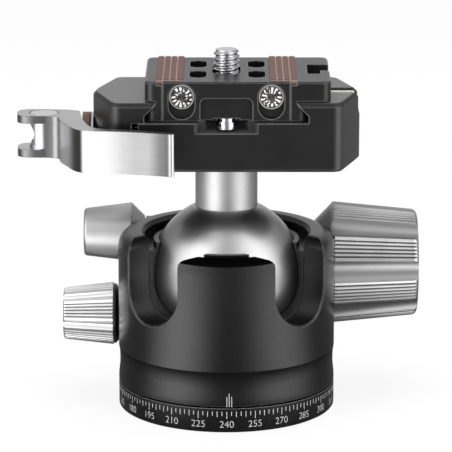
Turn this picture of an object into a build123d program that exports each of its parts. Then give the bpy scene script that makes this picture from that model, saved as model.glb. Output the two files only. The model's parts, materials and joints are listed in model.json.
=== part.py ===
from build123d import *
from math import asin, cos, degrees, pi, radians, sin, sqrt, tan
import os

# Tripod ball head with a lever clamp and a quick-release plate.
# Millimetres. +Z is up. The origin is the centre of the base's underside,
# where a tripod's screw enters. +X points to the main lock knob, -Y to the dial's index.

# ---- fits ----
running_gap = 0.05            # round parts that turn or slide in a bore
seat_gap = 0.1                # fixed parts in their pockets
part_gap = 0.2                # washers and plates in their recesses

# ---- ball and stem ----
ball_radius = 18.0
ball_height = 32.5            # the ball's centre above the base's underside
stem_radius = 7.4
stem_land = 0.15              # the ball's flat is this much wider than the stem
stem_spigot_radius = 5.0
stem_spigot_length = 9.0

# ---- base ----
body_radius = 25.9            # base and housing have one outside diameter
base_thickness = 5.9
base_edge_round = 0.6
seam_gap = 0.3                # black line between the dial and the housing
hub_radius = 11.0
tripod_thread_radius = 4.8    # 3/8-16 UNC, taken at its major diameter
insert_radius = 6.2
insert_flange_radius = 8.6
insert_flange_thickness = 1.6
insert_cover = 1.2            # hub left above the insert
bearing_margin = 1.4          # hub to the bearing washer
bearing_width = 5.6
bearing_thickness = 0.7
thrust_thickness = 0.4
retainer_overhang = 2.4       # the retaining plate beyond the hub
retainer_thickness = 1.8
retainer_edge_break = 0.3
retainer_screw_circle = 8.7
retainer_screw_radius = 1.25
retainer_screw_head_radius = 2.3
retainer_screw_head_height = 1.1
retainer_screw_length = 6.0
retainer_socket_radius = 0.9
retainer_socket_depth = 0.7
retainer_screw_count = 4
ball_floor_gap = 1.9          # free space between the retaining plate and the ball

# ---- housing ----
knob_clearance = 0.35
rim_rise = 10.2               # rim above the ball's centre
rim_round = 3.8
rim_chamfer = 0.9
rim_chamfer_width = 0.8
housing_bottom_round = 0.3
notch_half_width = 8.1
notch_axis_drop = 0.4         # middle of the notch's arc below the ball's centre
notch_angles = (-45, 45)      # from the front, towards +X
notch_edge_break = 0.35
notch_top_round = 2.8         # the notch's walls flare out to the rim
tab_edge_rise = 5.0           # front tab: top of its outside wall above the ball's centre
tab_top_rise = 8.2
tab_bevel_width = 0.7
tab_corner_round = 2.0

# ---- liner, seat and spring ----
ball_fit = 0.15
liner_wall = 1.4              # at the ball's equator
liner_drop = 9.6              # liner's foot below the ball's centre
liner_rise = 8.25             # liner's top above the ball's centre
liner_shoulder_rise = 6.6
liner_lip_inset = 0.6         # the lip above the shoulder, inside the ball's radius
liner_notch_margin = 0.15     # the liner's notch is this much narrower than the wall's
liner_split_width = 2.0
seat_inset = 0.8              # the seat's outside, inside the ball's radius
seat_inner_radius = 9.5
seat_drop = 10.1              # seat's top below the ball's centre
seat_fit = 0.08
spring_width = 3.2
spring_thickness = 0.5
spring_cone_height = 0.35

# ---- main lock knob, on +X ----
lock_axis_y = 14.0
lock_axis_drop = 1.4          # below the ball's centre
lock_boss_radius = 8.5
lock_boss_inset = 4.7         # the boss's face, inside the body's radius
lock_knob_gap = 0.4           # boss to knob
lock_cone_length = 4.4        # to where the knob's cone reaches its full radius
lock_grip_length = 20.3
lock_knob_inner_radius = 14.75
lock_knob_outer_radius = 12.8
lock_knob_hub_radius = 10.3
lock_knob_edge_round = 1.4
lock_dish_radius = 8.6
lock_dish_depth = 0.6
lock_dish_slope = 0.8
lock_lobes = 8
lock_flute_angle = 21.0
lock_flute_depth = 1.3
lock_first_flute = -4.5       # angle of one flute's middle below the front
lock_rib_count = 6            # between two flutes
lock_rib_depth = 0.35
lock_screw_radius = 4.0
lock_screw_cover = 5.0        # knob left beyond the screw's end
lock_screw_edge_break = 0.5
lock_bush_radius = 6.2
lock_bush_gap = 0.24          # liner to the bush's inner end
lock_slug_radius = 4.5
lock_travel = 0.5

# ---- friction knob, upper left ----
drag_axis_y = 17.0
drag_axis_rise = 5.4          # above the ball's centre
drag_boss_radius = 3.9
drag_boss_inset = 6.3
drag_knob_gap = 0.3
drag_cone_length = 3.2
drag_grip_length = 11.6
drag_knob_inner_radius = 7.2
drag_knob_outer_radius = 5.75
drag_knob_hub_radius = 4.0
drag_knob_edge_round = 0.8
drag_screw_radius = 2.0
drag_screw_cover = 3.0
drag_screw_edge_break = 0.3
drag_slug_radius = 2.5
drag_slug_length = 4.8        # from the liner's side to the slug's outer end
drag_travel = 0.5

# ---- pan lock knob, lower left ----
pan_axis_y = 9.0
pan_axis_drop = 3.4           # below the liner's foot
pan_knob_gap = 1.5            # body's side to the knob's inner face
pan_grip_length = 12.1
pan_knob_inner_radius = 7.6
pan_knob_outer_radius = 6.25
pan_knob_edge_round = 0.8
pan_lobes = 6
pan_flute_angle = 18.0
pan_flute_depth = 0.7
pan_first_flute = -9.0
pan_rib_count = 6
pan_rib_depth = 0.3
pan_collar_radius = 7.3
pan_collar_root_radius = 4.4
pan_collar_inset = 2.3        # the collar's root, inside the body's radius
pan_collar_rim = 0.4
pan_collar_gap = 0.15
pan_screw_radius = 2.5
pan_screw_cover = 3.0
pan_pin_margin = 1.02         # bearing washer to the pin
pan_pin_radius = 2.0
pan_cone_lead = 0.8           # the screw's point beyond the pin's axis
pan_cone_clearance = 0.15
pan_travel = 0.4

# ---- clamp ----
clamp_rise = 27.9             # clamp's underside above the ball's centre
clamp_height = 16.3
channel_depth = 4.7
groove_depth = 2.4
groove_half_width = 6.5
groove_edge_break = 0.8
clamp_half_width = 16.4
clamp_shoulder_x = 26.8       # corner between the long side and the slanted end
clamp_nose_x = 32.0           # meeting point of the two slanted ends
clamp_corner_round = 3.0
clamp_nose_round = 10.0
clamp_top_break = 0.9
clamp_bottom_break = 0.6
jaw_gap_margin = 1.5          # the gap between body and jaw, beyond the dovetail
jaw_gap_width = 1.5
jaw_lip = 3.0                 # how far the jaw reaches past the dovetail's neck
jaw_travel = 2.5
clamp_bolt_radius = 3.0
clamp_bolt_head_radius = 5.0
clamp_bolt_head_height = 5.4
clamp_bolt_head_rise = 1.4    # above the groove's floor
clamp_bolt_edge_break = 0.5
clamp_bolt_length = 16.0
clamp_bolt_socket_radius = 2.6
clamp_bolt_socket_depth = 3.0
guide_pin_radius = 2.0
guide_pin_y = 10.2
guide_pin_depth = 8.0         # into the body, beyond the spring's pocket
guide_pin_hold = 2.2          # left in the jaw when it is open
spring_coil_radius = 3.0
spring_wire_radius = 0.4
spring_turns = 4
spring_pocket_depth = 6.0
spring_side_gap = 0.3
vial_radius = 2.6
vial_clearance = 0.35
vial_start = 22.0
vial_end = 30.3
vial_end_gap = 0.3
vial_end_round = 0.4
vial_depth = 2.75             # axis below the clamp's top

# ---- lever, tie rod and washers ----
rod_rise = 5.95               # rod's axis above the clamp's underside
rod_radius = 2.4
rod_inner_end = -9.0
rod_end_round = 0.8
rod_jaw_clearance = 0.15
nose_flat = 0.6               # the jaw's nose is faced back this far for the rings
washer_radius = 5.0
washer_side_gap = 0.5
thin_ring_thickness = 0.5
dark_ring_thickness = 0.5
thrust_washer_thickness = 1.6
lever_cam_gap = 0.15          # thrust washer to the lever's cam face
barrel_offset = 9.05          # barrel's axis beyond the cam face
barrel_y = 0.0
barrel_radius = 3.45
barrel_hole_radius = 2.7
barrel_edge_break = 0.2
barrel_mouth_offset = 1.0
lever_lift = 0.8              # lever's underside above the clamp's
lever_height = 10.0
lever_ear = 1.85
lever_ear_half_width = 4.2
lever_ear_reach = 6.3         # ears beyond the barrel's axis
lever_slot_offset = 0.4
lever_rod_clearance = 0.35
lever_tip_round = 0.7
# the plan's places: along X from the cam face, along Y beyond the clamp's front side
lever_back_offset = 2.0
lever_cheek = (-3.85, 0.6)
lever_cam_back = (-0.7, 2.2)
lever_cam_front_y = -4.2
lever_hollow = ((0.95, -6.4), (2.75, -0.5))
lever_bend = (5.55, 1.7)
lever_inner_arm = (13.65, 3.4)
lever_tip_x = 22.15
lever_tip_inner = 6.7
lever_tip_thickness = 1.8
lever_outer_arm = (13.65, 5.8)
lever_crease = (1.75, 4.1)
lever_outer_curve = ((-0.75, 2.2), (-3.05, -3.0), (-5.05, -9.0))
lever_neck_x = -8.85

# ---- quick-release plate ----
plate_lift = 0.38             # plate's underside above the channel's floor
plate_thickness = 9.25
slab_thickness = 4.6
slab_edge_break = 0.35
plate_centre_x = 2.65         # the slab sits off the dovetail's middle
plate_width = 43.2
plate_half_length = 15.3
plate_corner_round = 2.0
dovetail_half_width = 19.0
dovetail_flat = 1.3
dovetail_undercut = 2.6
dovetail_end_trim = 1.2
jaw_clearance = 0.08
strip_lefts = (-16.3, 10.2)
strip_width = 6.2
strip_depth = 0.8
strip_proud = 0.3
strip_ribs = 4
strip_groove_width = 0.3
strip_groove_depth = 0.25
strip_margin = 0.3
lightening_columns = (-6.65, 7.1)
lightening_rows = (-5.65, 6.75)
lightening_width = 4.0
lightening_length = 8.6
strap_slot_margin = 2.15      # slot to the slab's right end
strap_slot_width = 3.1
strap_slot_front = -5.3
strap_slot_rear = 6.3
strap_mouth_front = -1.3

# ---- camera screw ----
screw_radius = 3.175          # 1/4-20 UNC
screw_rise = 4.9
screw_thread_start = 0.3      # the thread begins this far above the plate
screw_neck_radius = 2.6
screw_end_break = 0.6
screw_travel = 3.0
screw_slot_half_width = 3.3
screw_head_lift = 0.4         # head above the plate's underside
screw_head_radius = 5.7
screw_head_height = 3.4
screw_head_edge_break = 0.4
screw_driver_width = 1.2
screw_driver_depth = 1.2
screw_recess_clearance = 0.35
slider_thickness = 0.8
screw_recess_height = 4.8

# ---- anti-twist stop ----
stop_half_width = 14.8
stop_thickness = 1.2
stop_edge_break = 0.3
stop_screw_x = 10.4
stop_screw_rise = 5.67        # above the plate's underside
stop_screw_head_radius = 2.95
stop_screw_head_inset = 0.15
stop_screw_head_round = 0.4
stop_screw_socket_radius = 1.0
stop_screw_socket_depth = 1.0
stop_slot_clearance = 0.1
stop_travel = 2.2
stop_screw_shank_radius = 1.25
stop_screw_shank_length = 5.0
arch_half_width = 6.05
arch_height = 5.3
arch_round = 1.3
safety_y = 12.4
safety_head_radius = 2.6
safety_head_drop = 0.58       # head below the plate's underside
safety_head_height = 1.8
safety_head_round = 0.3
safety_neck_radius = 2.15
safety_shank_radius = 1.25
safety_shank_length = 3.6
safety_relief_half_width = 3.05
safety_relief_height = 0.4
safety_relief_start = 8.5

# ---- derived: heights, from the base up ----
floor_bottom = base_thickness + seam_gap
retainer_top = ball_height - ball_radius - ball_floor_gap
hub_top = retainer_top - retainer_thickness
floor_top = hub_top - thrust_thickness
insert_length = hub_top - insert_cover
spring_ledge = retainer_top + part_gap
seat_bottom = spring_ledge + spring_cone_height + spring_thickness
seat_top_height = ball_height - seat_drop
liner_ledge_height = ball_height - liner_drop
liner_shoulder_height = ball_height + liner_shoulder_rise
liner_top_height = ball_height + liner_rise
notch_axis_height = ball_height - notch_axis_drop
tab_edge_height = ball_height + tab_edge_rise
tab_top_height = ball_height + tab_top_rise
rim_height = ball_height + rim_rise
lock_axis_height = ball_height - lock_axis_drop
drag_axis_height = ball_height + drag_axis_rise
pan_axis_height = liner_ledge_height - pan_axis_drop
ball_flat_height = ball_height + sqrt((ball_radius ** 2) - (stem_radius + stem_land) ** 2)
clamp_bottom = ball_height + clamp_rise
clamp_top = clamp_bottom + clamp_height
channel_floor = clamp_top - channel_depth
groove_floor = channel_floor - groove_depth
clamp_bolt_head_top = groove_floor + clamp_bolt_head_rise
clamp_bolt_seat = clamp_bolt_head_top - clamp_bolt_head_height
vial_axis_height = clamp_top - vial_depth
rod_height = clamp_bottom + rod_rise
lever_bottom = clamp_bottom + lever_lift
lever_top = lever_bottom + lever_height
plate_bottom = channel_floor + plate_lift
plate_top = plate_bottom + plate_thickness
slab_bottom = plate_top - slab_thickness
stop_screw_height = plate_bottom + stop_screw_rise
safety_head_top = plate_bottom - safety_head_drop

# ---- derived: radii ----
bearing_inner_radius = hub_radius + bearing_margin
bearing_outer_radius = bearing_inner_radius + bearing_width
retainer_radius = hub_radius + retainer_overhang
liner_radius = ball_radius + liner_wall
liner_bore_radius = liner_radius + seat_gap
liner_lip_radius = ball_radius - liner_lip_inset
seat_radius = ball_radius - seat_inset
seat_bore_radius = seat_radius + seat_gap
rim_inner_radius = liner_bore_radius + rim_chamfer_width
tab_top_radius = body_radius - tab_bevel_width
vial_slot_half_width = vial_radius + vial_clearance
spring_pocket_radius = spring_coil_radius + spring_wire_radius + spring_side_gap

# ---- derived: places along X ----
lock_boss_face = body_radius - lock_boss_inset
lock_bush_start = sqrt((liner_radius ** 2) - (lock_axis_y - lock_bush_radius) ** 2) + lock_bush_gap
lock_knob_face = lock_boss_face + lock_knob_gap
lock_knob_shoulder = lock_knob_face + lock_cone_length
lock_knob_end = lock_knob_shoulder + lock_grip_length
drag_boss_face = -(body_radius - drag_boss_inset)
drag_knob_face = drag_boss_face - drag_knob_gap
drag_knob_shoulder = drag_knob_face - drag_cone_length
drag_knob_end = drag_knob_shoulder - drag_grip_length
pan_knob_face = -(body_radius + pan_knob_gap)
pan_knob_end = pan_knob_face - pan_grip_length
pan_collar_root = -(body_radius - pan_collar_inset)
pan_pin_circle = bearing_outer_radius + pan_pin_margin + pan_pin_radius
pan_pin_x = -sqrt((pan_pin_circle ** 2) - pan_axis_y ** 2)
pan_cone_apex = pan_pin_x + pan_cone_lead
dovetail_neck = dovetail_half_width - dovetail_undercut
jaw_gap_right = -(dovetail_half_width + jaw_gap_margin)
jaw_gap_left = jaw_gap_right - jaw_gap_width
guide_pin_tip = jaw_gap_left - jaw_travel - guide_pin_hold
nose_face = -(clamp_nose_x - nose_flat)
thin_ring_outer = nose_face - thin_ring_thickness
dark_ring_outer = thin_ring_outer - dark_ring_thickness
thrust_washer_outer = dark_ring_outer - thrust_washer_thickness
lever_cam_x = thrust_washer_outer - lever_cam_gap
barrel_x = lever_cam_x - barrel_offset
barrel_place = (barrel_x, barrel_y)
plate_front = -plate_half_length + stop_thickness + seat_gap
strap_slot_right = plate_centre_x + plate_width / 2 - strap_slot_margin
strap_slot_left = strap_slot_right - strap_slot_width

# ---- cutters ----
over = 1.0                    # how far a cutter runs past the face it opens
big = 200.0


def turned(points, axis=Axis.Z):
    """Solid of revolution about Z from (radius, height) points."""
    outline = Polyline(*[(r, 0, z) for r, z in points], close=True)
    return revolve(make_face(outline), axis)


def ring(outer, inner, bottom, top):
    return turned([(inner, bottom), (outer, bottom), (outer, top), (inner, top)])


def disc(radius, bottom, top, x=0.0, y=0.0):
    height = top - bottom
    return Pos(x, y, bottom + height / 2) * Cylinder(radius, height)


def bar_x(radius, x_start, x_end, y, z):
    """Round bar along X between two places."""
    length = abs(x_end - x_start)
    middle = (x_start + x_end) / 2
    return Pos(middle, y, z) * Rot(0, 90, 0) * Cylinder(radius, length)


def block(x_low, x_high, y_low, y_high, z_low, z_high):
    size = (x_high - x_low, y_high - y_low, z_high - z_low)
    middle = ((x_low + x_high) / 2, (y_low + y_high) / 2, (z_low + z_high) / 2)
    return Pos(*middle) * Box(*size)


def along_x(x, y, z, direction):
    """Frame whose Z runs outwards along +X or -X and whose X points to the front."""
    return Plane(origin=(x, y, z), x_dir=(0, -1, 0), z_dir=(direction, 0, 0))


def save(shape, name):
    export_step(shape, "parts/" + name + ".step")


# ======== base ========

def make_base():
    body = disc(body_radius, 0, base_thickness)
    body = fillet(body.edges().group_by(Axis.Z)[0], base_edge_round)
    hub = disc(hub_radius, base_thickness, hub_top)
    body = body + hub
    body = body - disc(insert_radius, 0, insert_length)
    body = body - disc(insert_flange_radius, 0, insert_flange_thickness)
    for angle in retainer_screw_angles():
        x, y = polar(retainer_screw_circle, angle)
        body = body - disc(retainer_screw_radius, retainer_screw_low(), hub_top, x, y)
    return body


def polar(radius, angle):
    return radius * cos(radians(angle)), radius * sin(radians(angle))


def retainer_screw_angles():
    step = 360 / retainer_screw_count
    return [step * (index + 0.5) for index in range(retainer_screw_count)]


def retainer_screw_low():
    return retainer_top - retainer_screw_length


def make_tripod_insert():
    sleeve = ring(insert_radius, tripod_thread_radius, 0, insert_length)
    flange = ring(insert_flange_radius, tripod_thread_radius, 0, insert_flange_thickness)
    return sleeve + flange


def make_retaining_plate():
    plate = disc(retainer_radius, hub_top, retainer_top)
    plate = chamfer(plate.edges().group_by(Axis.Z)[-1], retainer_edge_break)
    for angle in retainer_screw_angles():
        x, y = polar(retainer_screw_circle, angle)
        plate = plate - disc(retainer_screw_radius, hub_top, retainer_top, x, y)
        plate = plate - countersink(x, y)
    return plate


def countersink(x, y):
    low = retainer_top - retainer_screw_head_height
    cone = turned([(0, low), (retainer_screw_radius, low),
                   (retainer_screw_head_radius, retainer_top), (0, retainer_top)])
    return Pos(x, y, 0) * cone


def make_retaining_screws():
    screws = []
    for angle in retainer_screw_angles():
        x, y = polar(retainer_screw_circle, angle)
        screw = disc(retainer_screw_radius, retainer_screw_low(), retainer_top, x, y)
        screw = screw + countersink(x, y)
        socket_floor = retainer_top - retainer_socket_depth
        screw = screw - disc(retainer_socket_radius, socket_floor, retainer_top, x, y)
        screws.append(screw)
    return Compound(screws)


# ======== housing ========

def boss(radius, x_face, y, z):
    """Boss for a screw, from inside the wall out to its face."""
    return bar_x(radius, 0, x_face, y, z)


def notch(angle, half_width, flare=0.0):
    """U-shaped cutter that runs out from the ball's axis, is open upwards and flares at the rim."""
    frame = Plane(origin=(0, 0, notch_axis_height),
                  x_dir=(cos(radians(angle)), sin(radians(angle)), 0),
                  z_dir=(sin(radians(angle)), -cos(radians(angle)), 0))
    rim = rim_height - notch_axis_height
    top = rim + over
    lower = rim - flare
    wide = half_width + flare
    bend = flare * (1 - cos(radians(45)))
    edges = [
        ThreePointArc((-half_width, 0), (0, -half_width), (half_width, 0)),
        Line((half_width, 0), (half_width, lower)),
        Line((wide, rim), (wide, top)),
        Line((wide, top), (-wide, top)),
        Line((-wide, top), (-wide, rim)),
        Line((-half_width, lower), (-half_width, 0)),
    ]
    if flare > 0:
        edges.append(ThreePointArc((half_width, lower), (half_width + bend, rim - bend), (wide, rim)))
        edges.append(ThreePointArc((-half_width, lower), (-half_width - bend, rim - bend), (-wide, rim)))
    return extrude(frame * make_face(edges), 2 * body_radius)


def front_sector(bottom, top):
    """Wedge between the two notches' middle lines."""
    corner = 2 * body_radius
    wedge = Polyline((0, 0), (-corner, -corner), (corner, -corner), close=True)
    return Pos(0, 0, bottom) * extrude(make_face(wedge), top - bottom)


def tab_outline():
    """Front view of the tab, with rounded upper corners, as a prism along Y."""
    half = body_radius * sin(radians(45) - asin(notch_half_width / body_radius))
    frame = Plane(origin=(0, 0, 0), x_dir=(1, 0, 0), z_dir=(0, -1, 0))
    shape = Pos(0, tab_top_height / 2) * RectangleRounded(2 * half, tab_top_height, tab_corner_round)
    return extrude(frame * shape, 2 * body_radius)


def make_housing():
    wall = turned([(0, floor_bottom), (body_radius, floor_bottom),
                   (body_radius, rim_height), (0, rim_height)])
    # the rim's rounding stays clear of the bore
    rounding = min(rim_round, 0.7 * (body_radius - rim_inner_radius))
    wall = fillet(wall.edges().group_by(Axis.Z)[-1], rounding)
    wall = fillet(wall.edges().group_by(Axis.Z)[0], housing_bottom_round)
    wall = wall + boss(lock_boss_radius, lock_boss_face, lock_axis_y, lock_axis_height)
    wall = wall + boss(drag_boss_radius, drag_boss_face, drag_axis_y, drag_axis_height)
    cavity = turned([
        (0, floor_bottom - over),
        (hub_radius + running_gap, floor_bottom - over),
        (hub_radius + running_gap, floor_top),
        (retainer_radius + part_gap, floor_top),
        (retainer_radius + part_gap, spring_ledge),
        (seat_bore_radius, spring_ledge),
        (seat_bore_radius, liner_ledge_height),
        (liner_bore_radius, liner_ledge_height),
        (liner_bore_radius, rim_height - rim_chamfer),
        (rim_inner_radius, rim_height),
        (rim_inner_radius, rim_height + over),
        (0, rim_height + over)])
    wall = wall - cavity
    recess = ring(bearing_outer_radius + part_gap, bearing_inner_radius - part_gap,
                  floor_bottom - over, base_thickness + bearing_thickness)
    wall = wall - recess
    lowered = turned([
        (0, tab_top_height), (tab_top_radius, tab_top_height),
        (body_radius, tab_edge_height), (2 * body_radius, tab_edge_height),
        (2 * body_radius, rim_height + over), (0, rim_height + over)])
    wall = wall - (lowered & front_sector(0, rim_height + over))
    corners = front_sector(notch_axis_height, rim_height + over) - tab_outline()
    wall = wall - corners
    for angle in notch_angles:
        wall = wall - notch(angle, notch_half_width)
    wall = chamfer(notch_outer_edges(wall), notch_edge_break)
    for angle in notch_angles:
        wall = wall - notch(angle, notch_half_width, notch_top_round)
    wall = wall - lock_passage()
    wall = wall - drag_passage()
    wall = wall - pan_passage()
    return wall


def notch_outer_edges(wall):
    """Edges where the notches' walls meet the housing's outside."""
    found = []
    for edge in wall.edges():
        middle = edge @ 0.5
        on_outside = abs(sqrt(middle.X ** 2 + middle.Y ** 2) - body_radius) < 0.05
        upright = abs((edge @ 0).Z - (edge @ 1).Z) > 1
        low_arc = edge.length > 2 * notch_half_width and middle.Z < notch_axis_height - notch_half_width / 2
        above = middle.Z > notch_axis_height - notch_half_width - over
        if on_outside and (upright or low_arc) and above:
            found.append(edge)
    return found


def lock_passage():
    """Slug bore, bush bore, and the hollow that clears the knob's cone."""
    bore_start = slug_start(lock_axis_y, lock_slug_radius) - 2 * lock_travel
    bore = bar_x(lock_slug_radius + running_gap, bore_start, lock_boss_face, lock_axis_y, lock_axis_height)
    bush = bar_x(lock_bush_radius, lock_bush_start, lock_boss_face + over, lock_axis_y, lock_axis_height)
    hollow = cone_hollow(lock_cone_length, lock_knob_hub_radius, lock_knob_inner_radius)
    frame = along_x(lock_knob_face - knob_clearance, lock_axis_y, lock_axis_height, 1)
    return bore + bush + frame.location * hollow


def cone_hollow(depth, hub_radius, full_radius):
    """Hollow in the wall that clears a knob's cone, widening outwards along Z."""
    low = hub_radius + knob_clearance
    high = full_radius + knob_clearance
    return turned([(0, 0), (low, 0), (high, depth), (high, 3 * depth), (0, 3 * depth)])


def drag_passage():
    bore_start = 2 * drag_travel - slug_start(drag_axis_y, drag_slug_radius)
    bore_end = drag_slug_outer_end() - part_gap
    bore = bar_x(drag_slug_radius + running_gap, bore_start, bore_end, drag_axis_y, drag_axis_height)
    thread = bar_x(drag_screw_radius + running_gap, bore_start, drag_knob_shoulder,
                   drag_axis_y, drag_axis_height)
    hollow = cone_hollow(drag_cone_length, drag_knob_hub_radius, drag_knob_inner_radius)
    frame = along_x(drag_knob_face + knob_clearance, drag_axis_y, drag_axis_height, -1)
    return bore + thread + frame.location * hollow


def pan_passage():
    screw = bar_x(pan_screw_radius + running_gap, pan_cone_apex, pan_knob_end, pan_axis_y, pan_axis_height)
    pin = disc(pan_pin_radius + running_gap, floor_bottom - over,
               pan_axis_height + pan_screw_radius, pan_pin_x, pan_axis_y)
    return screw + pin + pan_collar_blank()


def make_liner():
    bottom = liner_ledge_height
    shell = turned([
        (0, bottom), (liner_radius, bottom), (liner_radius, liner_shoulder_height),
        (liner_lip_radius, liner_shoulder_height), (liner_lip_radius, liner_top_height),
        (0, liner_top_height)])
    shell = shell - Pos(0, 0, ball_height) * Sphere(ball_radius + ball_fit)
    for angle in notch_angles:
        shell = shell - notch(angle, notch_half_width - liner_notch_margin)
    half = liner_split_width / 2
    shell = shell - block(-half, half, 0, body_radius, bottom, liner_top_height)
    return shell


def make_seat():
    cup = ring(seat_radius, seat_inner_radius, seat_bottom, seat_top_height)
    cup = cup - Pos(0, 0, ball_height) * Sphere(ball_radius + seat_fit)
    return cup


def make_seat_spring():
    low = spring_ledge
    rise = spring_cone_height
    outer = seat_radius - seat_gap
    inner = outer - spring_width
    return turned([(inner, low + rise), (outer, low), (outer, low + spring_thickness),
                   (inner, low + rise + spring_thickness)])


# ======== knobs ========

def grip_section(radius, lobes, flute_angle, flute_depth, first_flute, ribs, rib_depth):
    """Closed outline: smooth hollow flutes with bands of fine ribs between them."""
    step = 360 / lobes
    band = step - flute_angle
    pitch = band / ribs
    edges = []
    for lobe in range(lobes):
        middle = first_flute + lobe * step
        start = polar(radius, middle - flute_angle / 2)
        end = polar(radius, middle + flute_angle / 2)
        edges.append(ThreePointArc(start, polar(radius - flute_depth, middle), end))
        points = [end]
        for rib in range(ribs):
            angle = middle + flute_angle / 2 + rib * pitch
            if rib > 0:
                points.append(polar(radius - rib_depth, angle))
            points.append(polar(radius, angle + pitch * 0.35))
            points.append(polar(radius, angle + pitch * 0.65))
        points.append(polar(radius, middle + step - flute_angle / 2))
        edges.append(Polyline(*points))
    return make_face(edges)


def grip_blank(length, start_radius, end_radius, lobes, flute_angle, flute_depth,
               first_flute, ribs, rib_depth, lead_in):
    """Tapered, fluted and ribbed bar along Z, from -lead_in to length."""
    slope = (start_radius - end_radius) / length
    low_radius = start_radius + slope * lead_in
    low = Pos(0, 0, -lead_in) * grip_section(low_radius, lobes, flute_angle, flute_depth,
                                             first_flute, ribs, rib_depth)
    high = Pos(0, 0, length) * grip_section(end_radius, lobes, flute_angle, flute_depth,
                                            first_flute, ribs, rib_depth)
    return loft([low, high], ruled=True)


def make_lock_knob():
    length = lock_grip_length
    cone = lock_cone_length
    blank = grip_blank(length, lock_knob_inner_radius, lock_knob_outer_radius, lock_lobes, lock_flute_angle,
                       lock_flute_depth, lock_first_flute, lock_rib_count, lock_rib_depth, cone)
    envelope = turned([
        (0, -cone), (lock_knob_hub_radius, -cone), (lock_knob_inner_radius, 0),
        (lock_knob_outer_radius, length), (0, length)])
    envelope = fillet(envelope.edges().group_by(Axis.Z)[-1], lock_knob_edge_round)
    knob = blank & envelope
    dish_floor = length - lock_dish_depth
    dish = turned([(0, dish_floor), (lock_dish_radius, dish_floor),
                   (lock_dish_radius + lock_dish_slope, length), (0, length)])
    knob = knob - dish
    knob = knob - disc(lock_screw_radius, -cone, length - lock_screw_cover)
    frame = along_x(lock_knob_shoulder, lock_axis_y, lock_axis_height, 1)
    return frame.location * knob


def make_lock_screw():
    tip = lock_slug_outer_end()
    end = lock_knob_end - lock_screw_cover
    screw = bar_x(lock_screw_radius, tip, end, lock_axis_y, lock_axis_height)
    return chamfer(screw.edges().group_by(Axis.X)[0], lock_screw_edge_break)


def make_lock_bush():
    bush = bar_x(lock_bush_radius, lock_bush_start, lock_boss_face, lock_axis_y, lock_axis_height)
    bore = lock_screw_radius + running_gap
    hole = bar_x(bore, lock_bush_start, lock_boss_face, lock_axis_y, lock_axis_height)
    return bush - hole


def liner_reach(offset):
    """Distance along X from the axis to the liner's outside, at a place off its middle."""
    return sqrt(liner_radius ** 2 - offset ** 2)


def slug_start(axis_y, slug_radius):
    """Distance along X from the axis to a slug's inner end, where its face leaves the liner."""
    return liner_reach(axis_y) - slug_radius


def lock_slug_outer_end():
    return lock_bush_start - seat_gap


def make_lock_slug():
    inner = slug_start(lock_axis_y, lock_slug_radius)
    outer = lock_slug_outer_end() - running_gap
    slug = bar_x(lock_slug_radius, inner, outer, lock_axis_y, lock_axis_height)
    return slug - disc(liner_radius, 0, big, lock_travel + seat_gap, 0)


def make_drag_slug():
    inner = -slug_start(drag_axis_y, drag_slug_radius)
    outer = drag_slug_outer_end() + running_gap
    slug = bar_x(drag_slug_radius, inner, outer, drag_axis_y, drag_axis_height)
    return slug - disc(liner_radius, 0, big, -drag_travel - seat_gap, 0)


def drag_slug_outer_end():
    return -liner_reach(drag_axis_y) - drag_slug_length


def make_drag_knob():
    length = drag_grip_length
    cone = drag_cone_length
    knob = turned([
        (0, -cone), (drag_knob_hub_radius, -cone), (drag_knob_inner_radius, 0),
        (drag_knob_outer_radius, length), (0, length)])
    knob = fillet(knob.edges().group_by(Axis.Z)[-1], drag_knob_edge_round)
    knob = knob - disc(drag_screw_radius, -cone, length - drag_screw_cover)
    frame = along_x(drag_knob_shoulder, drag_axis_y, drag_axis_height, -1)
    return frame.location * knob


def make_drag_screw():
    screw = bar_x(drag_screw_radius, drag_slug_outer_end(), drag_knob_end + drag_screw_cover,
                  drag_axis_y, drag_axis_height)
    return chamfer(screw.edges().group_by(Axis.X)[-1], drag_screw_edge_break)


def make_pan_knob():
    length = pan_grip_length
    blank = grip_blank(length, pan_knob_inner_radius, pan_knob_outer_radius, pan_lobes, pan_flute_angle,
                       pan_flute_depth, pan_first_flute, pan_rib_count, pan_rib_depth, over)
    envelope = turned([
        (0, 0), (pan_knob_inner_radius, 0), (pan_knob_outer_radius, length), (0, length)])
    envelope = fillet(envelope.edges().group_by(Axis.Z)[-1], pan_knob_edge_round)
    knob = blank & envelope
    knob = knob - disc(pan_screw_radius, 0, length - pan_screw_cover)
    frame = along_x(pan_knob_face, pan_axis_y, pan_axis_height, -1)
    return frame.location * knob


def make_pan_screw():
    length = pan_cone_apex - pan_knob_end - pan_screw_cover
    shape = turned([(0, 0), (pan_screw_radius, pan_screw_radius), (pan_screw_radius, length),
                    (0, length)])
    frame = along_x(pan_cone_apex, pan_axis_y, pan_axis_height, -1)
    return frame.location * shape


def pan_collar_blank():
    """Collar between the wall and the pan knob, widening outwards to the knob's size."""
    width = pan_collar_root - pan_knob_face - pan_collar_gap
    shoulder = width - pan_collar_rim
    slope = pan_collar_radius - pan_collar_root_radius
    shape = turned([
        (0, 0), (pan_collar_root_radius, 0), (pan_collar_root_radius, shoulder - slope),
        (pan_collar_radius, shoulder), (pan_collar_radius, width), (0, width)])
    frame = along_x(pan_collar_root, pan_axis_y, pan_axis_height, -1)
    return frame.location * shape


def make_pan_collar():
    hole = bar_x(pan_screw_radius + running_gap, pan_collar_root + over, pan_knob_face, pan_axis_y,
                 pan_axis_height)
    return pan_collar_blank() - hole


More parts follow.
